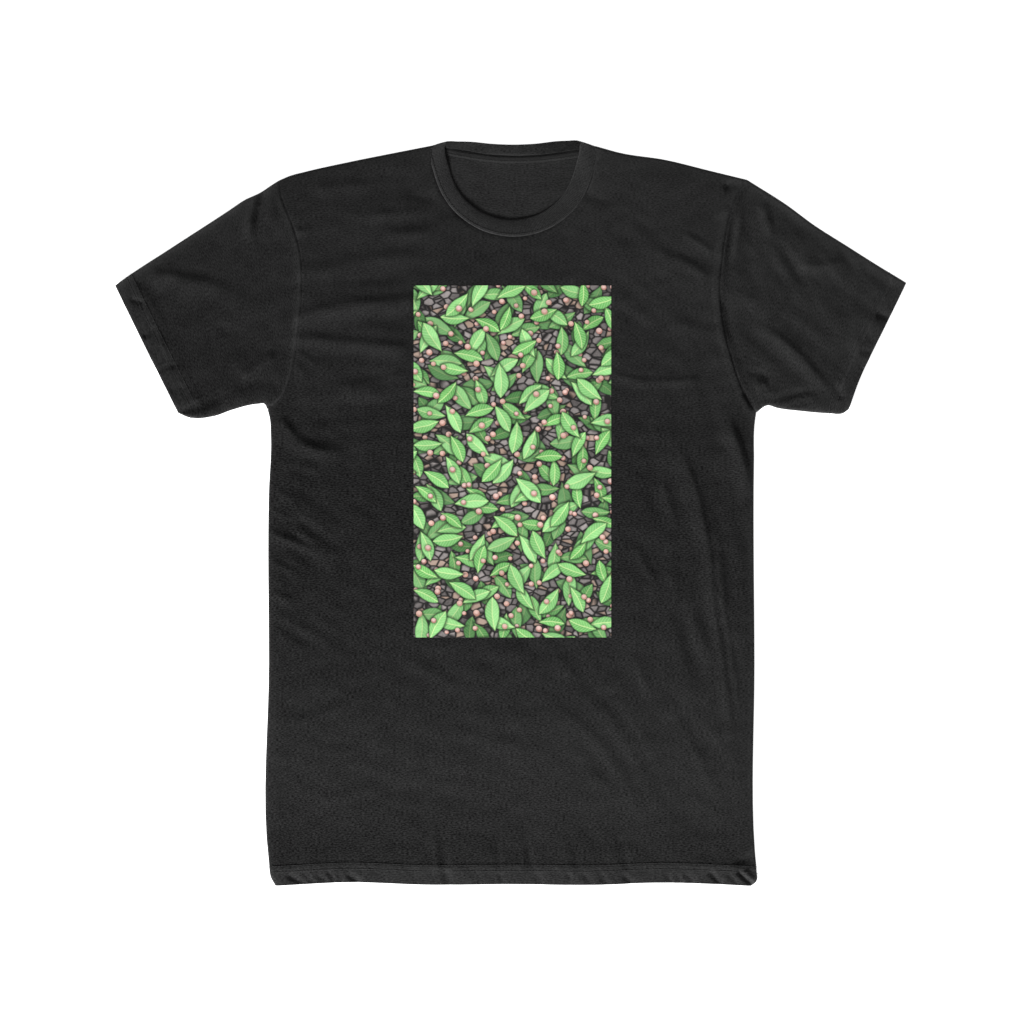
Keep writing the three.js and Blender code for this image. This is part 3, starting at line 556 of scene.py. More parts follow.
def make_piece(name, points, faces, finish, uv=None, fade=None):
    """A smooth mesh from points in millimetres, its faces turned outwards."""
    mesh = bpy.data.meshes.new(name)
    mesh.from_pydata(np.asarray(points) * MM, [], faces)
    if uv is not None:
        layer = mesh.uv_layers.new(name="cloth")
        corner = np.empty(len(mesh.loops), int)
        mesh.loops.foreach_get("vertex_index", corner)
        layer.data.foreach_set("uv", (np.asarray(uv) * MM)[corner].astype(np.float32).ravel())
    # These per-point values paint light and shade into the colour, with a little wear
    if fade is not None:
        set_values(mesh, "fade", fade)
    work = bmesh.new()
    work.from_mesh(mesh)
    bmesh.ops.recalc_face_normals(work, faces=work.faces)
    work.to_mesh(mesh)
    work.free()
    mesh.shade_smooth()
    mesh.materials.append(finish)
    return placed(name, mesh)


def cells_of(ids):
    """The four corners of each cell of a grid of point numbers."""
    return np.stack([ids[:-1, :-1], ids[:-1, 1:], ids[1:, 1:], ids[1:, :-1]], axis=-1)


def finer(cells, times):
    return cells.repeat(times, axis=0).repeat(times, axis=1)


def tube_faces(count, around, closed=True):
    """Faces round a tube of count rings, joined end to end if closed and capped if not."""
    ids = np.arange(count * around).reshape(count, around)
    caps = [] if closed else [ids[0].tolist(), ids[-1][::-1].tolist()]
    if closed:
        ids = np.vstack([ids, ids[:1]])
    ids = np.hstack([ids, ids[:, :1]])
    return cells_of(ids).reshape(-1, 4).tolist() + caps


def edge_chains(kept, thin):
    """The outer edges of the kept cells of a grid, each as thin + 1 (row, column) pairs."""
    framed = np.pad(kept, 1)
    chains = []
    steps = np.arange(thin + 1)
    for r, c in zip(*np.nonzero(kept)):
        top, left = r * thin, c * thin
        across, down = left + steps, top + steps
        if not framed[r, c + 1]:
            chains.append([(top, k) for k in across])
        if not framed[r + 1, c + 2]:
            chains.append([(k, left + thin) for k in down])
        if not framed[r + 2, c + 1]:
            chains.append([(top + thin, k) for k in across[::-1]])
        if not framed[r + 1, c]:
            chains.append([(k, left) for k in down[::-1]])
    return chains


def sheet_piece(name, finish, plan, shown, hidden, fade, thin=2, kept=None):
    """A closed sheet of cloth: every point of the plan on the shown side, each thin-th on the other."""
    rows, columns = plan.shape[:2]
    shown, hidden, fade = (np.reshape(values, (rows, columns)) for values in (shown, hidden, fade))
    step = (slice(None, None, thin), slice(None, None, thin))
    ids = np.arange(rows * columns).reshape(rows, columns)
    under = np.full((rows, columns), -1)
    under[step] = rows * columns + np.arange(ids[step].size).reshape(ids[step].shape)
    cells = np.ones(((rows - 1) // thin, (columns - 1) // thin), bool) if kept is None else kept
    fine = finer(cells, thin)
    faces = cells_of(ids)[fine].tolist() + cells_of(under[step])[cells][:, ::-1].tolist()
    for chain in edge_chains(cells, thin):
        ends = [int(under[chain[0]]), int(under[chain[-1]])]
        faces.append([int(ids[p]) for p in reversed(chain)] + ends)
    flat = np.vstack([plan.reshape(-1, 2), plan[step].reshape(-1, 2)])
    heights = np.concatenate([shown.ravel(), hidden[step].ravel()])
    fade = np.concatenate([fade.ravel(), fade[step].ravel()])
    used = np.unique(np.concatenate([np.ravel(f) for f in faces]))
    number = np.full(len(flat), -1)
    number[used] = np.arange(used.size)
    faces = [number[f].tolist() for f in faces]
    points = np.column_stack([flat, heights])
    return make_piece(name, points[used], faces, finish, flat[used], fade[used])


EDGE_STEPS = (0, 0.15, 0.45, 0.9, 1.6, 2.5, 4)  # points crowd near an edge that is rounded


def spread(length, pitch, start=EDGE_STEPS, end=EDGE_STEPS):
    """An odd number of shares of a length, crowded at its ends and about pitch apart between."""
    count = max(2, round((length - start[-1] - end[-1]) / pitch))
    count += (len(start) + len(end) + count) % 2
    middle = np.linspace(start[-1], length - end[-1], count + 1)
    return np.concatenate([start[:-1], middle, length - np.array(end[:-1])[::-1]]) / length


def fill_between(bottom, top, left, right, u, v):
    """Plan of a patch between four edges, each a line, at shares u across and v up."""
    u, v = np.broadcast_arrays(u, v)
    u, v = u[..., None], v[..., None]
    inside = (1 - v) * along(bottom, u[..., 0]) + v * along(top, u[..., 0])
    inside += (1 - u) * along(left, v[..., 0]) + u * along(right, v[..., 0])
    corners = (1 - u) * (1 - v) * bottom[0] + u * (1 - v) * bottom[-1]
    corners += (1 - u) * v * top[0] + u * v * top[-1]
    return inside - corners


# Front and back

SIDE_EDGES = {side: np.vstack([LINES[side]["side"], LINES[side]["armhole"][1:]]) for side in LINES}
HEM_ROWS = (0, 0.15, 0.45, 0.9, 1.6, 2.5, *np.arange(3.7, 24.5, 1.2))


def top_edge(neckline):
    """Both shoulders and the line between them."""
    return np.vstack([LINES["right"]["shoulder"], neckline, LINES["left"]["shoulder"][::-1]])


BACK_NECKLINE = smooth_line([
    (-79.5, 366), (-54, 364.8), (-26, 360.6), (4, 358.8), (32, 360), (60, 363.4), (85.5, 365.6),
])
FRONT_TOP = top_edge(np.array([[-40, 366.0], [46, 365.8]]))
BACK_TOP = top_edge(BACK_NECKLINE[1:-1])


def body_plan(top, u, away_from_hem):
    """Places on a body panel at shares u of its width, all as far from the hem."""
    height = along(top, u)[:, 1] - along(HEM_LINE, u)[:, 1]
    v = away_from_hem / height
    for _ in range(4):
        plan = fill_between(HEM_LINE, top, SIDE_EDGES["right"], SIDE_EDGES["left"], u, v)
        v = v + (away_from_hem - nearest(HEM_LINE, plan[:, 0], plan[:, 1])[0]) / height
    return plan


def panel_grid(top, across_pitch, up_pitch):
    u = spread(BODY_WIDTH, across_pitch)
    bottom_y, top_y = along(HEM_LINE, u)[:, 1], along(top, u)[:, 1]
    height = (top_y - bottom_y)[None, :]
    upper = spread(BODY_HEIGHT - HEM_ROWS[-1], up_pitch, start=(0, up_pitch))
    hem = np.array(HEM_ROWS)[:, None] / height
    if (hem.shape[0] - 1 + upper.size) % 2 == 0:  # one more row makes their number odd
        upper = np.sort(np.append(upper, upper[4] * 0.5 + upper[5] * 0.5))
    rest = hem[-1:] + (1 - hem[-1:]) * upper[1:, None]
    v = np.vstack([hem, rest])
    return fill_between(HEM_LINE, top, SIDE_EDGES["right"], SIDE_EDGES["left"], u[None, :], v)


NECK_HOLE = 77  # radius of the front's opening, under the rib


def front_cloth(finish):
    plan = panel_grid(FRONT_TOP, 2.0, 2.6)
    middle = plan[1::2, 1::2]
    away = np.hypot(middle[..., 0] - NECK_CENTRE[0], middle[..., 1] - NECK_CENTRE[1])
    kept = away > NECK_HOLE
    fine = finer(kept, 2)
    beside_kept, beside_gone = (
        np.logical_or.reduce([framed[:-1, :-1], framed[1:, :-1], framed[:-1, 1:], framed[1:, 1:]])
        for framed in (np.pad(fine, 1), np.pad(~fine, 1))
    )
    rim = beside_kept & beside_gone
    from_centre = plan[rim] - NECK_CENTRE
    plan[rim] = NECK_CENTRE + from_centre * NECK_HOLE / np.linalg.norm(from_centre, axis=1)[:, None]
    spots = Spots(plan)
    top = front_height(spots)
    return sheet_piece(
        "front_cloth", finish, plan, top, front_inside(spots, top), wear_and_painted_light(spots), kept=kept
    )


def back_cloth(finish):
    plan = panel_grid(BACK_TOP, 4.4, 4.6)
    spots = Spots(plan)
    low = back_height(spots)
    return sheet_piece(
        "back_cloth", finish, plan, low, back_inside(spots, low), wear_and_painted_light(spots), thin=1
    )


# Sleeves

def sleeve_plan(side, u, v):
    """Places on a sleeve, at shares u from armhole to cuff and v from the underarm up."""
    edges = (LINES[side][name] for name in ("sleeve_under", "sleeve_top", "armhole", "cuff"))
    return fill_between(*edges, u, v)


CUFF_WAY = {side: LINES[side]["cuff"][-1] - LINES[side]["cuff"][0] for side in LINES}


def turned_to_cuff(side, plan):
    """Cloth coordinates whose first axis runs along the cuff."""
    way = unit(CUFF_WAY[side])
    return np.stack([plan @ way, plan @ np.array([way[1], -way[0]])], axis=-1)


def sleeve_cloth(side, finish):
    """A sleeve: rings of cloth round it, outside from the armhole to the cuff and back inside."""
    u = np.unique(np.round(np.concatenate([
        spread(SLEEVE_LENGTH, 2.4, start=(0, 0.5, 1.2, 2.2, 3.6))[:-18],
        1 - np.array(HEM_ROWS) / SLEEVE_LENGTH,
    ]), 6))
    v = spread(SLEEVE_DEPTH, 2.2)
    plan = sleeve_plan(side, u[:, None], v[None, :])
    spots = Spots(plan)
    shape = plan.shape[:2]
    top, low = front_height(spots), back_height(spots)
    over, under = top.reshape(shape), low.reshape(shape)
    inset = 0.008 + 0.984 * v
    inner_plan = sleeve_plan(side, u[:, None], inset[None, :])
    inner_spots = Spots(inner_plan)
    inner_over = front_inside(inner_spots, front_height(inner_spots)).reshape(shape)
    inner_under = back_inside(inner_spots, back_height(inner_spots)).reshape(shape)
    inner_over = np.maximum(inner_over, EDGE_LEVEL + 0.05)
    inner_under = np.minimum(inner_under, EDGE_LEVEL - 0.05)
    light = wear_and_painted_light(spots).reshape(shape)

    def rings(places, upper, lower):
        back = slice(-2, 0, -1)
        return np.concatenate([
            np.dstack([places, upper]), np.dstack([places[:, back], lower[:, back]]),
        ], axis=1)

    outer = rings(plan, over, under)
    inner = rings(inner_plan, inner_over, inner_under)
    points = np.concatenate([outer, inner[::-1]])
    fade = np.concatenate([light, light[:, -2:0:-1]], axis=1)
    fade = np.concatenate([fade, fade[::-1]])
    faces = tube_faces(*points.shape[:2])
    points = points.reshape(-1, 3)
    uv = turned_to_cuff(side, points[:, :2])
    return make_piece(f"{side}_sleeve_cloth", points, faces, finish, uv, fade.ravel())


# Node trees

class Value:
    """A socket of a node tree, so that maths can be written as expressions."""

    def __init__(self, graph, socket):
        self.graph, self.socket = graph, socket

    def maths(self, operation, *others):
        return self.graph.maths(operation, self, *others)

    def output(self, name):
        return Value(self.graph, self.socket.node.outputs[name])

    def __add__(self, other):
        return self.maths("ADD", other)

    def __sub__(self, other):
        return self.maths("SUBTRACT", other)

    def __rsub__(self, other):
        return self.graph.maths("SUBTRACT", other, self)

    def __mul__(self, other):
        return self.maths("MULTIPLY", other)

    def __truediv__(self, other):
        return self.maths("DIVIDE", other)

    def __rtruediv__(self, other):
        return self.graph.maths("DIVIDE", other, self)

    def __abs__(self):
        return self.maths("ABSOLUTE")

    __radd__ = __add__
    __rmul__ = __mul__


class Graph:
    """A node tree being drawn up, for a material or for geometry."""

    def __init__(self, tree):
        self.tree = tree

    def node(self, kind, settings=None, inputs=None, output=0):
        """Adds a node, its settings before its sockets' values or links, and gives one output."""
        node = self.tree.nodes.new(kind)
        for name, value in (settings or {}).items():
            setattr(node, name, value)
        for name, value in (inputs or {}).items():
            if isinstance(value, Value):
                self.tree.links.new(value.socket, node.inputs[name])
            else:
                node.inputs[name].default_value = value
        outputs = node.outputs
        return Value(self, outputs[output]) if outputs else node

    def maths(self, operation, *values):
        return self.node("ShaderNodeMath", {"operation": operation}, dict(enumerate(values)))

    def vector(self, x, y, z=0.0):
        return self.node("ShaderNodeCombineXYZ", {}, {"X": x, "Y": y, "Z": z})

    def parts(self, vector):
        """The X of a vector, with its Y and Z as further outputs."""
        return self.node("ShaderNodeSeparateXYZ", {}, {"Vector": vector})

    def scaled(self, vector, factor):
        return self.node("ShaderNodeVectorMath", {"operation": "SCALE"}, {0: vector, "Scale": factor})


class Finish(Graph):
    """A cloth's, thread's or ink's material."""

    def __init__(self, name):
        self.material = bpy.data.materials.new(name)
        self.material.use_nodes = True
        super().__init__(self.material.node_tree)
        self.tree.nodes.clear()

    def cloth(self, across, up, turned=0.0):
        """Cloth coordinates counted in repeats of across by up millimetres."""
        uv = self.node("ShaderNodeUVMap", {"uv_map": "cloth"})
        size = {"Scale": (1 / (across * MM), 1 / (up * MM), 1), "Rotation": (0, 0, turned)}
        return self.node("ShaderNodeMapping", {}, {"Vector": uv, **size})

    def place(self):
        return self.node("ShaderNodeTexCoord", {}, output="Object")

    def hues(self, colour):
        """The red of a colour, with its green and blue as further outputs."""
        return self.node("ShaderNodeSeparateColor", {}, {"Color": colour})

    def noise(self, vector, detail=2.0, roughness=0.5):
        return self.node("ShaderNodeTexNoise", {}, {
            "Vector": vector, "Scale": 1.0, "Detail": detail, "Roughness": roughness,
        })

    def between(self, value, low, high):
        """0 where the value is under low, 1 where it is over high, smooth between."""
        return self.node("ShaderNodeMapRange", {"interpolation_type": "SMOOTHSTEP"}, {
            "Value": value, "From Min": low, "From Max": high,
        })

    def mix(self, factor, first, second, blend="MIX"):
        settings = {"data_type": "RGBA", "blend_type": blend, "clamp_factor": True}
        return self.node("ShaderNodeMix", settings, {0: factor, 6: first, 7: second}, output=2)

    # Per-point painted light and shade, with a little wear, read from the mesh
    def fade(self):
        return self.node("ShaderNodeAttribute", {"attribute_name": "fade"}, output="Fac")

    def surface(self, colour, roughness, height=None, relief=0.1, sheen=0.0, gloss=0.25, glow=0.0):
        inputs = {
            "Base Color": colour, "Roughness": roughness, "Specular IOR Level": gloss,
            "Sheen Weight": sheen, "Sheen Roughness": 0.45, "Sheen Tint": (0.8, 0.8, 0.82, 1),
            "Emission Color": grey(1), "Emission Strength": glow,
        }
        if height is not None:
            inputs["Normal"] = self.node("ShaderNodeBump", {}, {
                "Strength": 1.0, "Distance": relief * MM, "Height": height,
            })
        shader = self.node("ShaderNodeBsdfPrincipled", {}, inputs)
        self.node("ShaderNodeOutputMaterial", {}, {"Surface": shader})
        return self.material


def grey(level):
    return (level, level, level, 1)


STUDIO_LIGHT = 1.2  # how much brighter the studio's light shows a colour than it is


def paint(*seen):
    """The ink's own colour for one that is to be seen as red, green and blue from 0 to 255."""
    return (*((((c / 255 + 0.055) / 1.055) ** 2.4) / STUDIO_LIGHT for c in seen), 1)


BRIGHTEST_CLOTH = 0.12


def knitted(name, shade, streak, roughness, relief, loops_across=0.95, loops_up=0.62):
    """The finish of a fine knit: its loops, the streaks of its yarn, and the painted light and shade,
    with some wear, that its points carry.
    """
    finish = Finish(name)
    streaks = finish.noise(finish.cloth(2.6, 1.0), detail=1.5, roughness=0.55)
    mottle = finish.noise(finish.cloth(18, 11), detail=3.0, roughness=0.55)
    specks = finish.noise(finish.cloth(1.1, 1.1), detail=1.0)
    # The yarn's streaks show less towards the collar, matched to how the light falls there: painted
    # light and shade
    grain_strength = 1.15 - 0.4 * finish.between(finish.parts(finish.place()).output("Y"), -0.22, 0.28)
    grain = streak * (streaks - 0.5) + 0.9 * (specks - 0.5)
    level = 1 + grain * grain_strength + 0.7 * (mottle - 0.5) + finish.fade()
    colour = finish.mix(level * (shade / BRIGHTEST_CLOTH), grey(0.0), grey(BRIGHTEST_CLOTH))
    loops = finish.parts(finish.cloth(loops_across, loops_up))
    lean = abs(loops.maths("FRACT") - 0.5)
    rows = (loops.output("Y") + lean * 1.2).maths("MULTIPLY", 2 * math.pi).maths("SINE")
    height = (rows * 0.5 + (1 - lean * 2) * 0.6) * 0.45 + streaks * 1.2
    return finish.surface(colour, roughness, height, relief, sheen=0.05, gloss=0.08)


def thread_finish():
    """Spun sewing thread, with a fine grain and a slower change of tone."""
    finish = Finish("black_thread")
    place = finish.place()
    grain = finish.noise(finish.scaled(place, 1 / (0.5 * MM)), detail=2.0)
    tone = finish.noise(finish.scaled(place, 1 / (9 * MM)), detail=1.0)
    colour = finish.mix(0.3 + 0.5 * grain + 0.4 * (tone - 0.5), grey(0.01), grey(0.036))
    return finish.surface(colour, 0.7, grain, relief=0.12, sheen=0.05, gloss=0.15)


# Chest print: tossed leaves and berries on pebbled ground

def tossed(finish, cell, turned, seed, spare):
    """A lattice whose cells each have chances of their own: the place in a cell, and the chances."""
    lattice = finish.parts(finish.cloth(cell, cell, turned))
    across, up = lattice + 0.37 * seed, lattice.output("Y") + 0.71 * seed
    column, row = across.maths("FLOOR"), up.maths("FLOOR")
    lot = finish.node("ShaderNodeTexWhiteNoise", {"noise_dimensions": "3D"}, {
        "Vector": finish.vector(column, row, float(seed)),
    })
    chances = finish.hues(lot.output("Color"))
    green = chances.output("Green")
    from_left = (across - column - 0.5) * cell + (chances - 0.5) * spare
    from_below = (up - row - 0.5) * cell + (green - 0.5) * spare
    return from_left, from_below, chances.output("Blue"), (chances + green).maths("FRACT")


def leaf_layer(finish, ground, grit, wobble, cell, turned, seed, half_long, half_wide, dim):
    """Lays one almond leaf over the ground in each cell of a lattice."""
    from_left, from_below, chance, tone = tossed(finish, cell, turned, seed, cell - 2 * half_long)
    angle = chance * (2 * math.pi)
    cosine, sine = angle.maths("COSINE"), angle.maths("SINE")
    size = 0.78 + 0.22 * tone
    reach = (from_left * cosine + from_below * sine) / (half_long * size)
    swell = 1 - reach * reach
    off_rib = from_below * cosine - from_left * sine + wobble * 1.4 - swell * 1.6
    away = abs(off_rib)
    inside = swell * size * half_wide * (1 + 0.3 * reach) - away
    slant = away * 0.9 - reach * half_long
    veins = finish.between(abs((slant / 3.4).maths("FRACT") - 0.5), 0.3, 0.46)
    green = finish.mix(tone * 0.7 + grit * 0.45, paint(104, 186, 84), paint(176, 242, 160))
    green = finish.mix(finish.between(off_rib, -0.3, 0.3) * 0.35, green, paint(74, 150, 72))
    green = finish.mix(veins * 0.35, green, paint(206, 248, 186))
    green = finish.mix((1 - finish.between(away, 0.25, 0.7)) * 0.8, green, paint(216, 246, 170))
    green = finish.mix((1 - finish.between(inside, 0.2, 1.5)) * 0.75, green, paint(58, 124, 58))
    green = finish.mix(dim, green, paint(52, 92, 52))
    shaded = finish.mix(finish.between(inside, -3.2, 0.2) * 0.75, ground, paint(22, 24, 22))
    return finish.mix(finish.between(inside, 0.0, 0.4), shaded, green)


def berries(finish, ground, cell, turned, seed, radius):
    from_left, from_below, chance, tone = tossed(finish, cell, turned, seed, cell - 2.6 * radius)
    away = (from_left * from_left + from_below * from_below * 1.15).maths("SQRT")
    away = away / (radius * (0.7 + 0.3 * tone))
    lit = finish.between(away + from_left * 0.14 - from_below * 0.14, 0.1, 1.1)
    pink = finish.mix(lit, paint(244, 210, 202), paint(182, 126, 116))
    pink = finish.mix(chance * 0.5, pink, paint(216, 172, 150))
    shaded = finish.mix((1 - finish.between(away, 0.8, 1.8)) * 0.6, ground, paint(14, 14, 12))
    return finish.mix(1 - finish.between(away, 0.88, 1.0), shaded, pink)


def pebbled_ground(finish, grit):
    place = {"Vector": finish.cloth(8.5, 6.0, 0.4), "Scale": 1.0}
    pebbles = finish.node("ShaderNodeTexVoronoi", {}, place)
    gaps = finish.node("ShaderNodeTexVoronoi", {"feature": "DISTANCE_TO_EDGE"}, place)
    tone = finish.hues(pebbles.output("Color"))
    stone = finish.mix(tone * 0.8 + grit * 0.5 - 0.1, paint(66, 62, 62), paint(176, 168, 166))
    warm = finish.between(tone.output("Green"), 0.8, 0.82)
    stone = finish.mix(warm * 0.7, stone, paint(196, 166, 146))
    return finish.mix(finish.between(gaps, 0.02, 0.22), paint(30, 28, 28), stone)


LEAVES = [
    {"cell": 39, "turned": 0.35, "seed": 1, "half_long": 18, "half_wide": 7.5, "dim": 0.7},
    {"cell": 38, "turned": 1.2, "seed": 2, "half_long": 17.5, "half_wide": 7, "dim": 0.45},
    {"cell": 37, "turned": -0.5, "seed": 3, "half_long": 17, "half_wide": 7, "dim": 0.2},
    {"cell": 36, "turned": 0.8, "seed": 4, "half_long": 16.5, "half_wide": 6.5, "dim": 0.0},
    {"cell": 40, "turned": -1.0, "seed": 5, "half_long": 18, "half_wide": 7.5, "dim": 0.0},
]


def ink_finish():
    finish = Finish("printed_ink")
    grit = finish.noise(finish.cloth(1.8, 1.8), detail=3.0)
    wobble = finish.noise(finish.cloth(9, 9), detail=2.0) - 0.5
    colour = pebbled_ground(finish, grit)
    for number, leaves in enumerate(LEAVES):
        colour = leaf_layer(finish, colour, grit, wobble, **leaves)
        if number == 2:
            colour = berries(finish, colour, 22, 0.2, 8, 3.1)
    colour = berries(finish, colour, 27, 0.6, 9, 3.4)
    weave = finish.noise(finish.cloth(2.8, 1.0), detail=2.0)
    colour = finish.mix(0.2 * (1 - weave), colour, grey(0.01))
    loops = finish.parts(finish.cloth(0.95, 0.62))
    height = (loops.output("Y") * (2 * math.pi)).maths("SINE") * 0.3 + weave
    return finish.surface(colour, 0.72 + 0.1 * weave, height, relief=0.12, gloss=0.2)


# Geometry trees

def geometry_tree(name, sockets):
    """A geometry tree with named inputs: its graph and the input values by name."""
    tree = bpy.data.node_groups.new(name, "GeometryNodeTree")
    tree.interface.new_socket("Geometry", in_out="OUTPUT", socket_type="NodeSocketGeometry")
    for label, kind in sockets.items():
        tree.interface.new_socket(label, in_out="INPUT", socket_type=f"NodeSocket{kind}")
    graph = Graph(tree)
    first = graph.node("NodeGroupInput")
    return graph, {label: first.output(label) for label in sockets}


def finish_tree(graph, geometry, material):
    real = graph.node("GeometryNodeRealizeInstances", {}, {"Geometry": geometry})
    smooth = graph.node("GeometryNodeSetShadeSmooth", {}, {"Geometry": real})
    dressed = graph.node("GeometryNodeSetMaterial", {}, {"Geometry": smooth, "Material": material})
    graph.node("NodeGroupOutput", {}, {"Geometry": dressed})
    return graph.tree


def named_attribute(graph, name, kind):
    return graph.node("GeometryNodeInputNamedAttribute", {"data_type": kind}, {"Name": name})


def thread_row_tree():
    """Arched threads along a line: in line with it as stitches, or across it as an overlocked edge."""
    graph, given = geometry_tree("row of threads", {
        "Line": "Geometry", "Pitch": "Float", "Along": "Float", "Across": "Float",
        "Arch": "Float", "Thread": "Float", "Seed": "Int", "Finish": "Material",
    })
    curve = graph.node("GeometryNodeMeshToCurve", {}, {"Mesh": given["Line"]})
    points = graph.node("GeometryNodeResampleCurve", {"mode": "LENGTH"}, {
        "Curve": curve, "Length": given["Pitch"],
    })
    end = graph.vector(given["Along"] * 0.5, given["Across"] * 0.5)
    thread = graph.node("GeometryNodeCurveQuadraticBezier", {}, {
        "Resolution": 5, "Start": graph.scaled(end, -1.0), "End": end,
        "Middle": graph.vector(0.0, 0.0, given["Arch"]),
    })
    section = graph.node("GeometryNodeCurvePrimitiveCircle", {}, {
        "Resolution": 5, "Radius": given["Thread"],
    })
    body = graph.node("GeometryNodeCurveToMesh", {}, {
        "Curve": thread, "Profile Curve": section, "Fill Caps": True,
    })
    tangent = graph.node("GeometryNodeInputTangent")
    forward = graph.node("FunctionNodeAlignRotationToVector", {"axis": "X"}, {"Vector": tangent})
    upright = graph.node("FunctionNodeAlignRotationToVector", {"axis": "Z", "pivot_axis": "X"}, {
        "Rotation": forward, "Vector": named_attribute(graph, "surface_up", "FLOAT_VECTOR"),
    })
    size = graph.node("FunctionNodeRandomValue", {"data_type": "FLOAT"}, {
        2: 0.9, 3: 1.1, "Seed": given["Seed"],
    }, output=1)
    row = graph.node("GeometryNodeInstanceOnPoints", {}, {
        "Points": points, "Instance": body, "Rotation": upright, "Scale": size,
    })
    return finish_tree(graph, row, given["Finish"])


def ribbing_tree():
    """Knitted ribs that run across a band, by its around and ribbed attributes."""
    graph, given = geometry_tree("ribbing", {
        "Band": "Geometry", "Ribs": "Float", "Depth": "Float", "Finish": "Material",
    })
    turn = named_attribute(graph, "around", "FLOAT") * given["Ribs"] * (2 * math.pi)
    swell = turn.maths("SINE") * given["Depth"] * named_attribute(graph, "ribbed", "FLOAT")
    normal = graph.node("GeometryNodeInputNormal")
    band = graph.node("GeometryNodeSetPosition", {}, {
        "Geometry": given["Band"], "Offset": graph.scaled(normal, swell),
    })
    return finish_tree(graph, band, given["Finish"])


def grown(piece, tree, inputs):
    """Runs a geometry tree on a piece and leaves the result as its plain mesh."""
    modifier = piece.modifiers.new("shape", "NODES")
    modifier.node_group = tree
    for item in tree.interface.items_tree:
        if item.in_out == "INPUT" and item.name in inputs:
            modifier[item.identifier] = inputs[item.name]
    bpy.context.view_layer.update()
    evaluated = piece.evaluated_get(bpy.context.evaluated_depsgraph_get())
    mesh = bpy.data.meshes.new_from_object(evaluated)
    piece.modifiers.remove(modifier)
    piece.data = mesh
    return piece


# Collar

FOLD_CENTRE = (1.5, 356)
RIBS = 262
RIB_PITCH = 1.5
RIB_DEPTH = 0.07
POINTS_PER_RIB = 6
SHOULDER_SEAM = [(-79.5, 364.6, 2.9), (85, 364.4, 2.9)]
SHOULDER_FOLD = [(-62.5, 369.8, 4.6), (65.5, 370.9, 4.6)]
BACK_SEAM = [
    (72, 362.9, 1.7), (60, 361.2, 1.5), (32, 357.6, 1.4), (4, 356.4, 1.4), (-26, 358.2, 1.4),
    (-54, 362.8, 1.5), (-66, 364, 1.7),
]
BACK_FOLD = [
    (57, 370.6, 5.9), (47.2, 370, 7.2), (25.4, 367.4, 7.8), (3.6, 366.4, 8), (-18.3, 367.2, 7.8),
    (-40.1, 369.4, 7), (-52, 369.8, 5.8),
]
FRONT_FOLD_Z = 1.75
SEAM_SUNK = 0.75  # how much lower the neck seam is than the front beside it


def front_arc(centre, radius):
    """Points round the front of the neck, from the right shoulder to the left."""
    angles = np.radians(np.arange(193, 350, 25.5))
    return np.column_stack([centre[0] + radius * np.cos(angles), centre[1] + radius * np.sin(angles)])


def collar_edges():
    """The neck seam and the rib's fold, matched point by point, once round from the right shoulder."""
    arc = front_arc(NECK_CENTRE, NECK_SEAM_RADIUS)
    beside = Spots(front_arc(NECK_CENTRE, NECK_SEAM_RADIUS + 3.5))
    arc = np.column_stack([arc, front_height(beside) - SEAM_SUNK])
    seam = np.vstack([SHOULDER_SEAM[0], arc, SHOULDER_SEAM[1], BACK_SEAM])
    arc = front_arc(FOLD_CENTRE, NECK_SEAM_RADIUS - RIB_WIDTH)
    arc = np.column_stack([arc, np.full(len(arc), FRONT_FOLD_Z)])
    fold = np.vstack([SHOULDER_FOLD[0], arc, SHOULDER_FOLD[1], BACK_FOLD])
    seam, fold = (smooth_line(points, 24, closed=True) for points in (seam, fold))
    seam, fold = (np.vstack([line, line[:1]]) for line in (seam, fold))
    lengths = lengths_along((seam + fold) / 2)
    at = np.linspace(0, lengths[-1], RIBS * POINTS_PER_RIB, endpoint=False)
    even = lambda line: np.stack([np.interp(at, lengths, line[:, k]) for k in range(3)], axis=-1)
    return even(seam), even(fold)


def way_up(line, across, closed=True):
    """The way up from the cloth at each point of a line, square to it and to the way across."""
    before, after = np.roll(line, 1, axis=0), np.roll(line, -1, axis=0)
    if not closed:
        before[0], after[-1] = line[0], line[-1]
    return unit(np.cross(after - before, across))


def collar_frame():
    """The rib's seam, with the ways across it to the fold and up from it."""
    seam, fold = collar_edges()
    return seam, fold - seam, way_up(seam + fold, fold - seam)


CROWN = 0.45  # how much the middle of the rib stands up


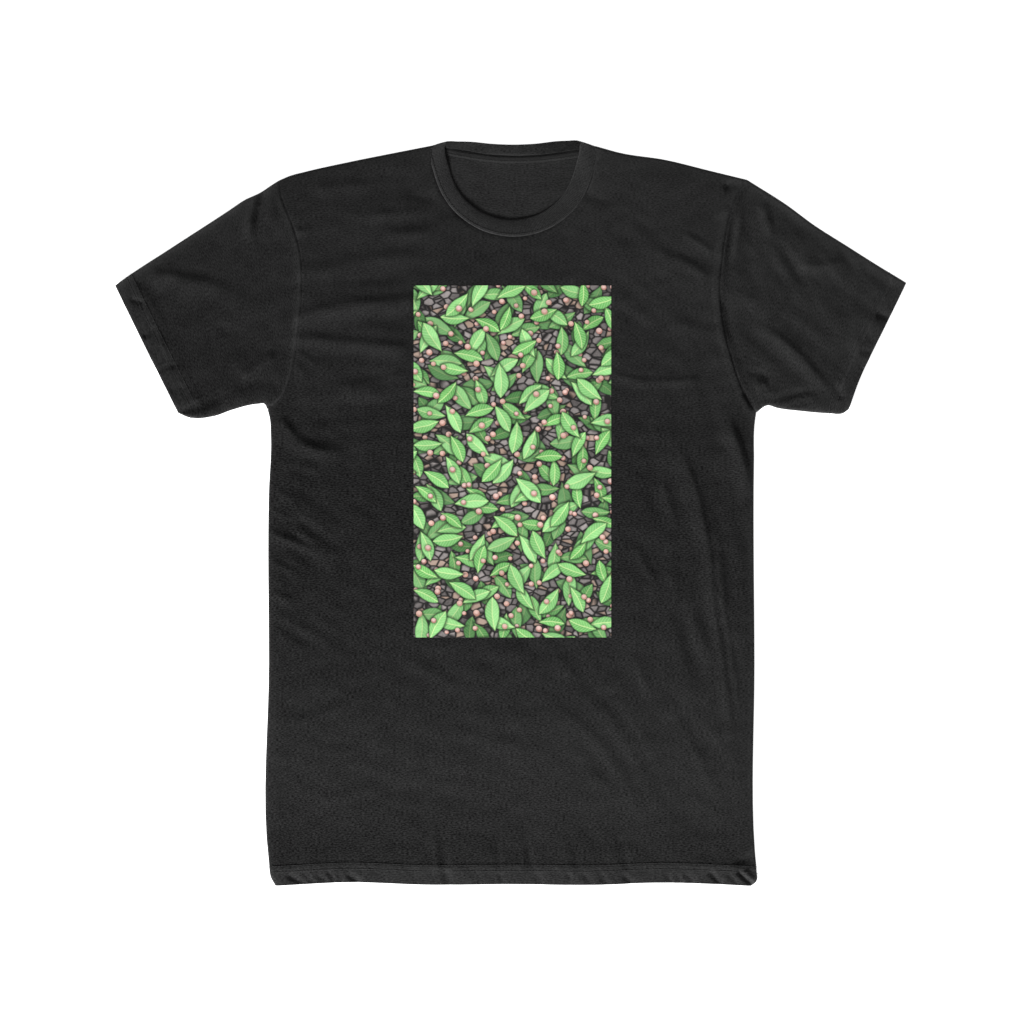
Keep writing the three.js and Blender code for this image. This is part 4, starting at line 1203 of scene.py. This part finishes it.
def collar_rib(finish, ribbing):
    seam, across, up = collar_frame()
    half = RIB_THICK / 2
    flat = np.array([1.6, 3, 4.8, 7, 9.5, 12, 14, 15.4]) / RIB_WIDTH
    turn = np.radians([75, 50, 25, 0, -25, -50, -75])
    end = half / RIB_WIDTH
    thin = lambda s: half * (1 - 0.38 * s)
    section = [(s, thin(s) + CROWN * math.sin(math.pi * s), 1) for s in (end, *flat, 1 - end)]
    section += [(1 - end + end * math.cos(a), thin(1) * math.sin(a), 0.25) for a in turn]
    section += [(s, -thin(s), 0.6) for s in (1 - end, *flat[::-1], end)]
    section += [(end - end * math.cos(a), half * math.sin(a), 0) for a in turn[::-1]]
    shares, sides, ribbed = np.array(section).T
    points = seam[:, None] + across[:, None] * shares[:, None] + up[:, None] * sides[:, None]
    count, around = points.shape[:2]
    place = np.repeat(np.arange(count) / count, around)
    uv = np.column_stack([place * RIBS * RIB_PITCH, np.tile(shares * RIB_WIDTH, count)])
    # Painted light and shade on the rib: painted highlights along its fold and by its seam, painted
    # shade on the tilted back part, and lighter towards -X
    behind = ease(points[:, :, 1], 355, 359) * ease(up[:, 2:], 0.95, 0.88)
    fade = 0.3 * (ribbed == 0.25) + 0.25 * (shares < 0.06) - 0.6 * behind
    fade = fade - 0.1 * np.clip(points[:, :, 0] / 60, -1, 1)
    faces = tube_faces(count, around)
    piece = make_piece("collar_rib", points.reshape(-1, 3), faces, finish, uv, fade.ravel())
    set_values(piece.data, "around", place)
    set_values(piece.data, "ribbed", np.tile(ribbed, count))
    return grown(piece, ribbing, {"Ribs": float(RIBS), "Depth": RIB_DEPTH * MM, "Finish": finish})


TAPE_WIDTH = 7.5
TAPE_THICK = 0.5
TAPE_ROW = TAPE_WIDTH - 1.5  # the tape's stitches, from its upper edge
TAPE_EDGE = smooth_line([
    (-67, 365.2), (-54, 362.6), (-26, 358.2), (4, 356.4), (32, 357.6), (60, 361), (72, 362.6),
])


def tape_line(shares, drop):
    """Places on the tape at shares of its length, drop millimetres below its upper edge."""
    return along(TAPE_EDGE, shares) - np.multiply.outer(drop, [0, 1])


def neck_tape(finish):
    u = spread(TAPE_LENGTH, 1.5)
    drops = spread(TAPE_WIDTH, 0.8, (0, 0.2, 0.6), (0, 0.2, 0.6)) * TAPE_WIDTH
    plan = np.stack([tape_line(u, drop) for drop in drops])
    spots = Spots(plan)
    bed = back_inside(spots, back_height(spots)).reshape(plan.shape[:2])
    drop = np.broadcast_to(drops[:, None], bed.shape)
    rounded = np.minimum(quarter_round(drop, 0.5), quarter_round(TAPE_WIDTH - drop, 0.5))
    pull = 0.1 * soft_noise(plan[..., 0], plan[..., 1], 2.6, 30, 51)
    dent = 0.22 * bump(drop, TAPE_ROW, 0.6)
    puff = (pull + 0.15) * np.sin(math.pi * drop / TAPE_WIDTH)
    top = bed + 0.1 + TAPE_THICK * rounded + puff - dent
    low = np.minimum(bed - 0.1, top - 0.05)
    # Painted light and shade along the tape: a painted shadow line just below its upper edge, and
    # painted highlights on both edges
    fade = 0.2 - 1.1 * bump(drop, 1.5, 0.8) + 0.4 * np.exp(-drop / 0.5)
    fade = fade + 0.4 * bump(drop, TAPE_WIDTH - 0.8, 0.8)
    return sheet_piece("back_neck_tape", finish, plan, top, low, fade)


# Chest print

INK_ABOVE = 0.2  # the ink's top and underside, from the top of the cloth
INK_BELOW = 0.1


def chest_ink(finish):
    wide, high = PRINT["right"] - PRINT["left"], PRINT["top"] - PRINT["bottom"]
    x = PRINT["left"] + wide * spread(wide, 2.2, (0, 0.3, 1), (0, 0.3, 1))
    y = PRINT["bottom"] + high * spread(high, 2.4, (0, 0.3, 1), (0, 0.3, 1))
    plan = np.stack(np.meshgrid(x, y), axis=-1)
    cloth = front_height(Spots(plan))
    top, low = cloth + INK_ABOVE, cloth - INK_BELOW
    return sheet_piece("chest_ink", finish, plan, top, low, np.zeros(cloth.size))


# Stitching

# Each kind of thread in millimetres
STITCH = {"Pitch": 3.1, "Along": 2.5, "Across": 0, "Arch": 0.42, "Thread": 0.25}
NECK_STITCH = {"Pitch": 2.7, "Along": 2.1, "Across": 0, "Arch": 0.5, "Thread": 0.2}
OVERLOCK = {"Pitch": 2.4, "Along": 1.9, "Across": 5, "Arch": 1.5, "Thread": 0.24}
THREAD_LIFT = 0.08


def thread_row(name, line, across, kind, seed, threads, finish, closed=True):
    """A row of threads along a line that lies on the cloth."""
    up = way_up(line, across, closed)
    count = len(line)
    mesh = bpy.data.meshes.new(name)
    edges = [(i, (i + 1) % count) for i in range(count if closed else count - 1)]
    mesh.from_pydata((line + up * THREAD_LIFT) * MM, edges, [])
    lifted = mesh.attributes.new("surface_up", "FLOAT_VECTOR", "POINT")
    lifted.data.foreach_set("vector", up.astype(np.float32).ravel())
    sizes = {label: size * MM for label, size in kind.items()}
    return grown(placed(name, mesh), threads, {**sizes, "Seed": seed, "Finish": finish})


def over_and_under(plan_over, plan_under):
    """A closed line over the front and back under the back."""
    top = np.column_stack([plan_over, front_height(Spots(plan_over))])
    low = np.column_stack([plan_under, back_height(Spots(plan_under))])
    return np.vstack([top, low[-2:0:-1]])


def hem_row(name, number, threads, finish):
    u = spread(BODY_WIDTH, 1.6)
    plans = (body_plan(top, u, NEEDLE_ROWS[number]) for top in (FRONT_TOP, BACK_TOP))
    line = over_and_under(*plans)
    return thread_row(name, line, np.array([0, 1, 0]), STITCH, 3 + number, threads, finish)


def cuff_row(name, side, number, threads, finish):
    from_edge = NEEDLE_ROWS[number]
    v = spread(CUFF_LENGTH, 1.6)
    u = np.full(v.size, 1 - from_edge / SLEEVE_LENGTH)
    for _ in range(4):
        plan = sleeve_plan(side, u, v)
        away = nearest(LINES[side]["cuff"], plan[:, 0], plan[:, 1])[0]
        u = u + (away - from_edge) / SLEEVE_LENGTH
    plan = sleeve_plan(side, u, v)
    across = np.array([-CUFF_WAY[side][1], CUFF_WAY[side][0], 0])
    line = over_and_under(plan, plan)
    return thread_row(name, line, across, STITCH, 7 + number, threads, finish)


def collar_row(threads, finish):
    seam, across, up = collar_frame()
    line = seam + across * 0.13 + up * (RIB_THICK / 2 + CROWN * 0.4)
    third = slice(None, None, 3)
    return thread_row("neck_seam_row", line[third], across[third], NECK_STITCH, 11, threads, finish)


def tape_row(threads, finish):
    plan = tape_line(np.linspace(0.01, 0.99, 90), TAPE_ROW)
    spots = Spots(plan)
    bed = back_inside(spots, back_height(spots))
    line = np.column_stack([plan, bed + TAPE_THICK + 0.05])
    across = np.array([0, 1, 0])
    return thread_row("neck_tape_row", line, across, STITCH, 12, threads, finish, closed=False)


BAND_SECTION = [
    (-2.4, -0.25), (-2.1, 0.3), (0, 0.42), (2.1, 0.3), (2.4, -0.25), (2.1, -0.45), (-2.1, -0.45),
]


def overlocked_edge(name, points, across, threads, finish, closed=False):
    """The trimmed edge of a seam: a narrow band of cloth with threads looped over it."""
    across = unit(np.broadcast_to(across, points.shape))
    up = way_up(points, across, closed)
    rings = np.stack([points + across * a + up * b for a, b in BAND_SECTION], axis=1)
    faces = tube_faces(*rings.shape[:2], closed)
    band = make_piece(f"{name}_band", rings.reshape(-1, 3), faces, finish)
    loops = thread_row(name, points + up * 0.1, across, OVERLOCK, 21, threads, finish, closed)
    whole = bmesh.new()
    whole.from_mesh(band.data)
    whole.from_mesh(loops.data)
    whole.to_mesh(loops.data)
    whole.free()
    bpy.data.objects.remove(band)
    return loops


SEAM_INSET = 5.1  # from a seam's outline to the middle of its overlocked edge
SEAM_LEVEL = 2.25
ARMHOLE_INSET = 3.6
EDGE_OFF = 0.75  # from the inside of the cloth to the armhole's overlocked edge


def straight_overlock(side, name, start, end, threads, finish):
    plan = along(LINES[side][name], np.linspace(start, end, 90))
    way = unit(np.gradient(plan, axis=0))
    inward = np.column_stack([way[:, 1], -way[:, 0]]) * INWARD[side]
    points = np.column_stack([plan + inward * SEAM_INSET, np.full(90, SEAM_LEVEL)])
    across = np.column_stack([-inward * INWARD[side], np.zeros(90)])
    return overlocked_edge(f"{side}_{name}_edge", points, across, threads, finish)


def armhole_overlock(side, threads, finish):
    plan = along(LINES[side]["armhole"], np.linspace(0.17, 0.93, 70))
    plan = plan + np.array([INWARD[side] * ARMHOLE_INSET, 0])
    spots = Spots(plan)
    top, low = front_height(spots), back_height(spots)
    over = np.column_stack([plan, front_inside(spots, top) - EDGE_OFF])
    under = np.column_stack([plan, back_inside(spots, low) + EDGE_OFF])[::-1]
    line, across = np.vstack([over, under]), np.array([[INWARD[side], 0.0, 0.0]])
    return overlocked_edge(f"{side}_armhole_edge", line, across, threads, finish, closed=True)


# Studio

PHOTO_WIDTH = 1.024  # metres of table across the picture
LENS = 105
SENSOR = 36


def camera():
    data = bpy.data.cameras.new("camera")
    data.lens, data.sensor_width = LENS, SENSOR
    data.clip_end = 100
    scene.camera = placed("camera", data)
    scene.camera.location = (0.0015, 0, PHOTO_WIDTH * LENS / SENSOR)


def soft_light(name, place, size, power):
    data = bpy.data.lights.new(name, "AREA")
    data.shape, data.size, data.energy = "DISK", size, power
    lamp = placed(name, data)
    lamp.location = place
    lamp.rotation_mode = "QUATERNION"
    lamp.rotation_quaternion = (-Vector(place)).to_track_quat("-Z", "Y")
    lamp.visible_camera = False


def studio():
    """One large low window beyond the hem's right corner, an even sky, and a table lit from below."""
    scene.view_settings.view_transform = "Standard"
    world = bpy.data.worlds.new("studio")
    world.use_nodes = True
    sky = world.node_tree.nodes["Background"].inputs
    sky["Color"].default_value = grey(1)
    sky["Strength"].default_value = 0.4
    scene.world = world
    soft_light("window", (-4.25, -6.08, 3), 2.6, 1770)
    reach, low = 40, -0.0003
    floor = bpy.data.meshes.new("floor")
    corners = ((-reach, -reach), (reach, -reach), (reach, reach), (-reach, reach))
    floor.from_pydata([(x, y, low) for x, y in corners], [], [range(4)])
    pale = Finish("pale_table")
    colour = pale.mix(pale.noise(pale.scaled(pale.place(), 3.0)), grey(0.83), grey(0.86))
    floor.materials.append(pale.surface(colour, 0.85, gloss=0.2, glow=0.85))
    placed("floor", floor)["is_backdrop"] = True


# The shirt

def declare(piece, slot, *nodes):
    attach(piece, "root")
    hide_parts(*nodes)
    return piece


def shirt():
    threads, ribbing = thread_row_tree(), ribbing_tree()
    jersey = knitted("black_jersey", 0.0130, 4.0, 0.92, 0.12)
    rib = knitted("black_rib", 0.0195, 2.6, 0.9, 0.12, 1.5, 0.8)
    tape = knitted("black_tape", 0.0125, 2.0, 0.9, 0.14, 1.1, 0.5)
    thread, ink = thread_finish(), ink_finish()
    front = declare(front_cloth(jersey), "jersey", "front_panel")
    back = declare(back_cloth(jersey), "jersey", "back_panel")
    collar = declare(collar_rib(rib, ribbing), "rib", "neck_rib")
    neck_seam = declare(collar_row(threads, thread), "thread", "neck_seam_stitches")
    tape_piece = declare(neck_tape(tape), "tape", "neck_tape")
    tape_stitches = declare(tape_row(threads, thread), "thread", "neck_tape_stitches")
    ink_piece = declare(chest_ink(ink), "print_ink", "chest_print")
    hems = [
        declare(hem_row(f"hem_row_{n + 1}", n, threads, thread), "thread", f"hem_stitches_{n + 1}")
        for n in range(2)
    ]
    edges, sleeves, cuffs = [], {}, {}
    for side in SIDES:
        sleeves[side] = declare(sleeve_cloth(side, jersey), "jersey", f"{side}_sleeve")
        cuffs[side] = []
        for n in range(2):
            row = cuff_row(f"{side}_cuff_row_{n + 1}", side, n, threads, thread)
            cuffs[side].append(declare(row, "thread", f"{side}_cuff_stitches_{n + 1}"))
        made = {
            "side": straight_overlock(side, "side", 0.06, 0.96, threads, thread),
            "shoulder": straight_overlock(side, "shoulder", 0.07, 0.9, threads, thread),
            "armhole": armhole_overlock(side, threads, thread),
        }
        edges += [declare(made[name], "thread", f"{side}_{name}_overlock") for name in made]


camera()
studio()
shirt()

as_list = lambda box: [list(corner) for corner in box]
{"cad": as_list(cad_box), "visual": as_list(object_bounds())}
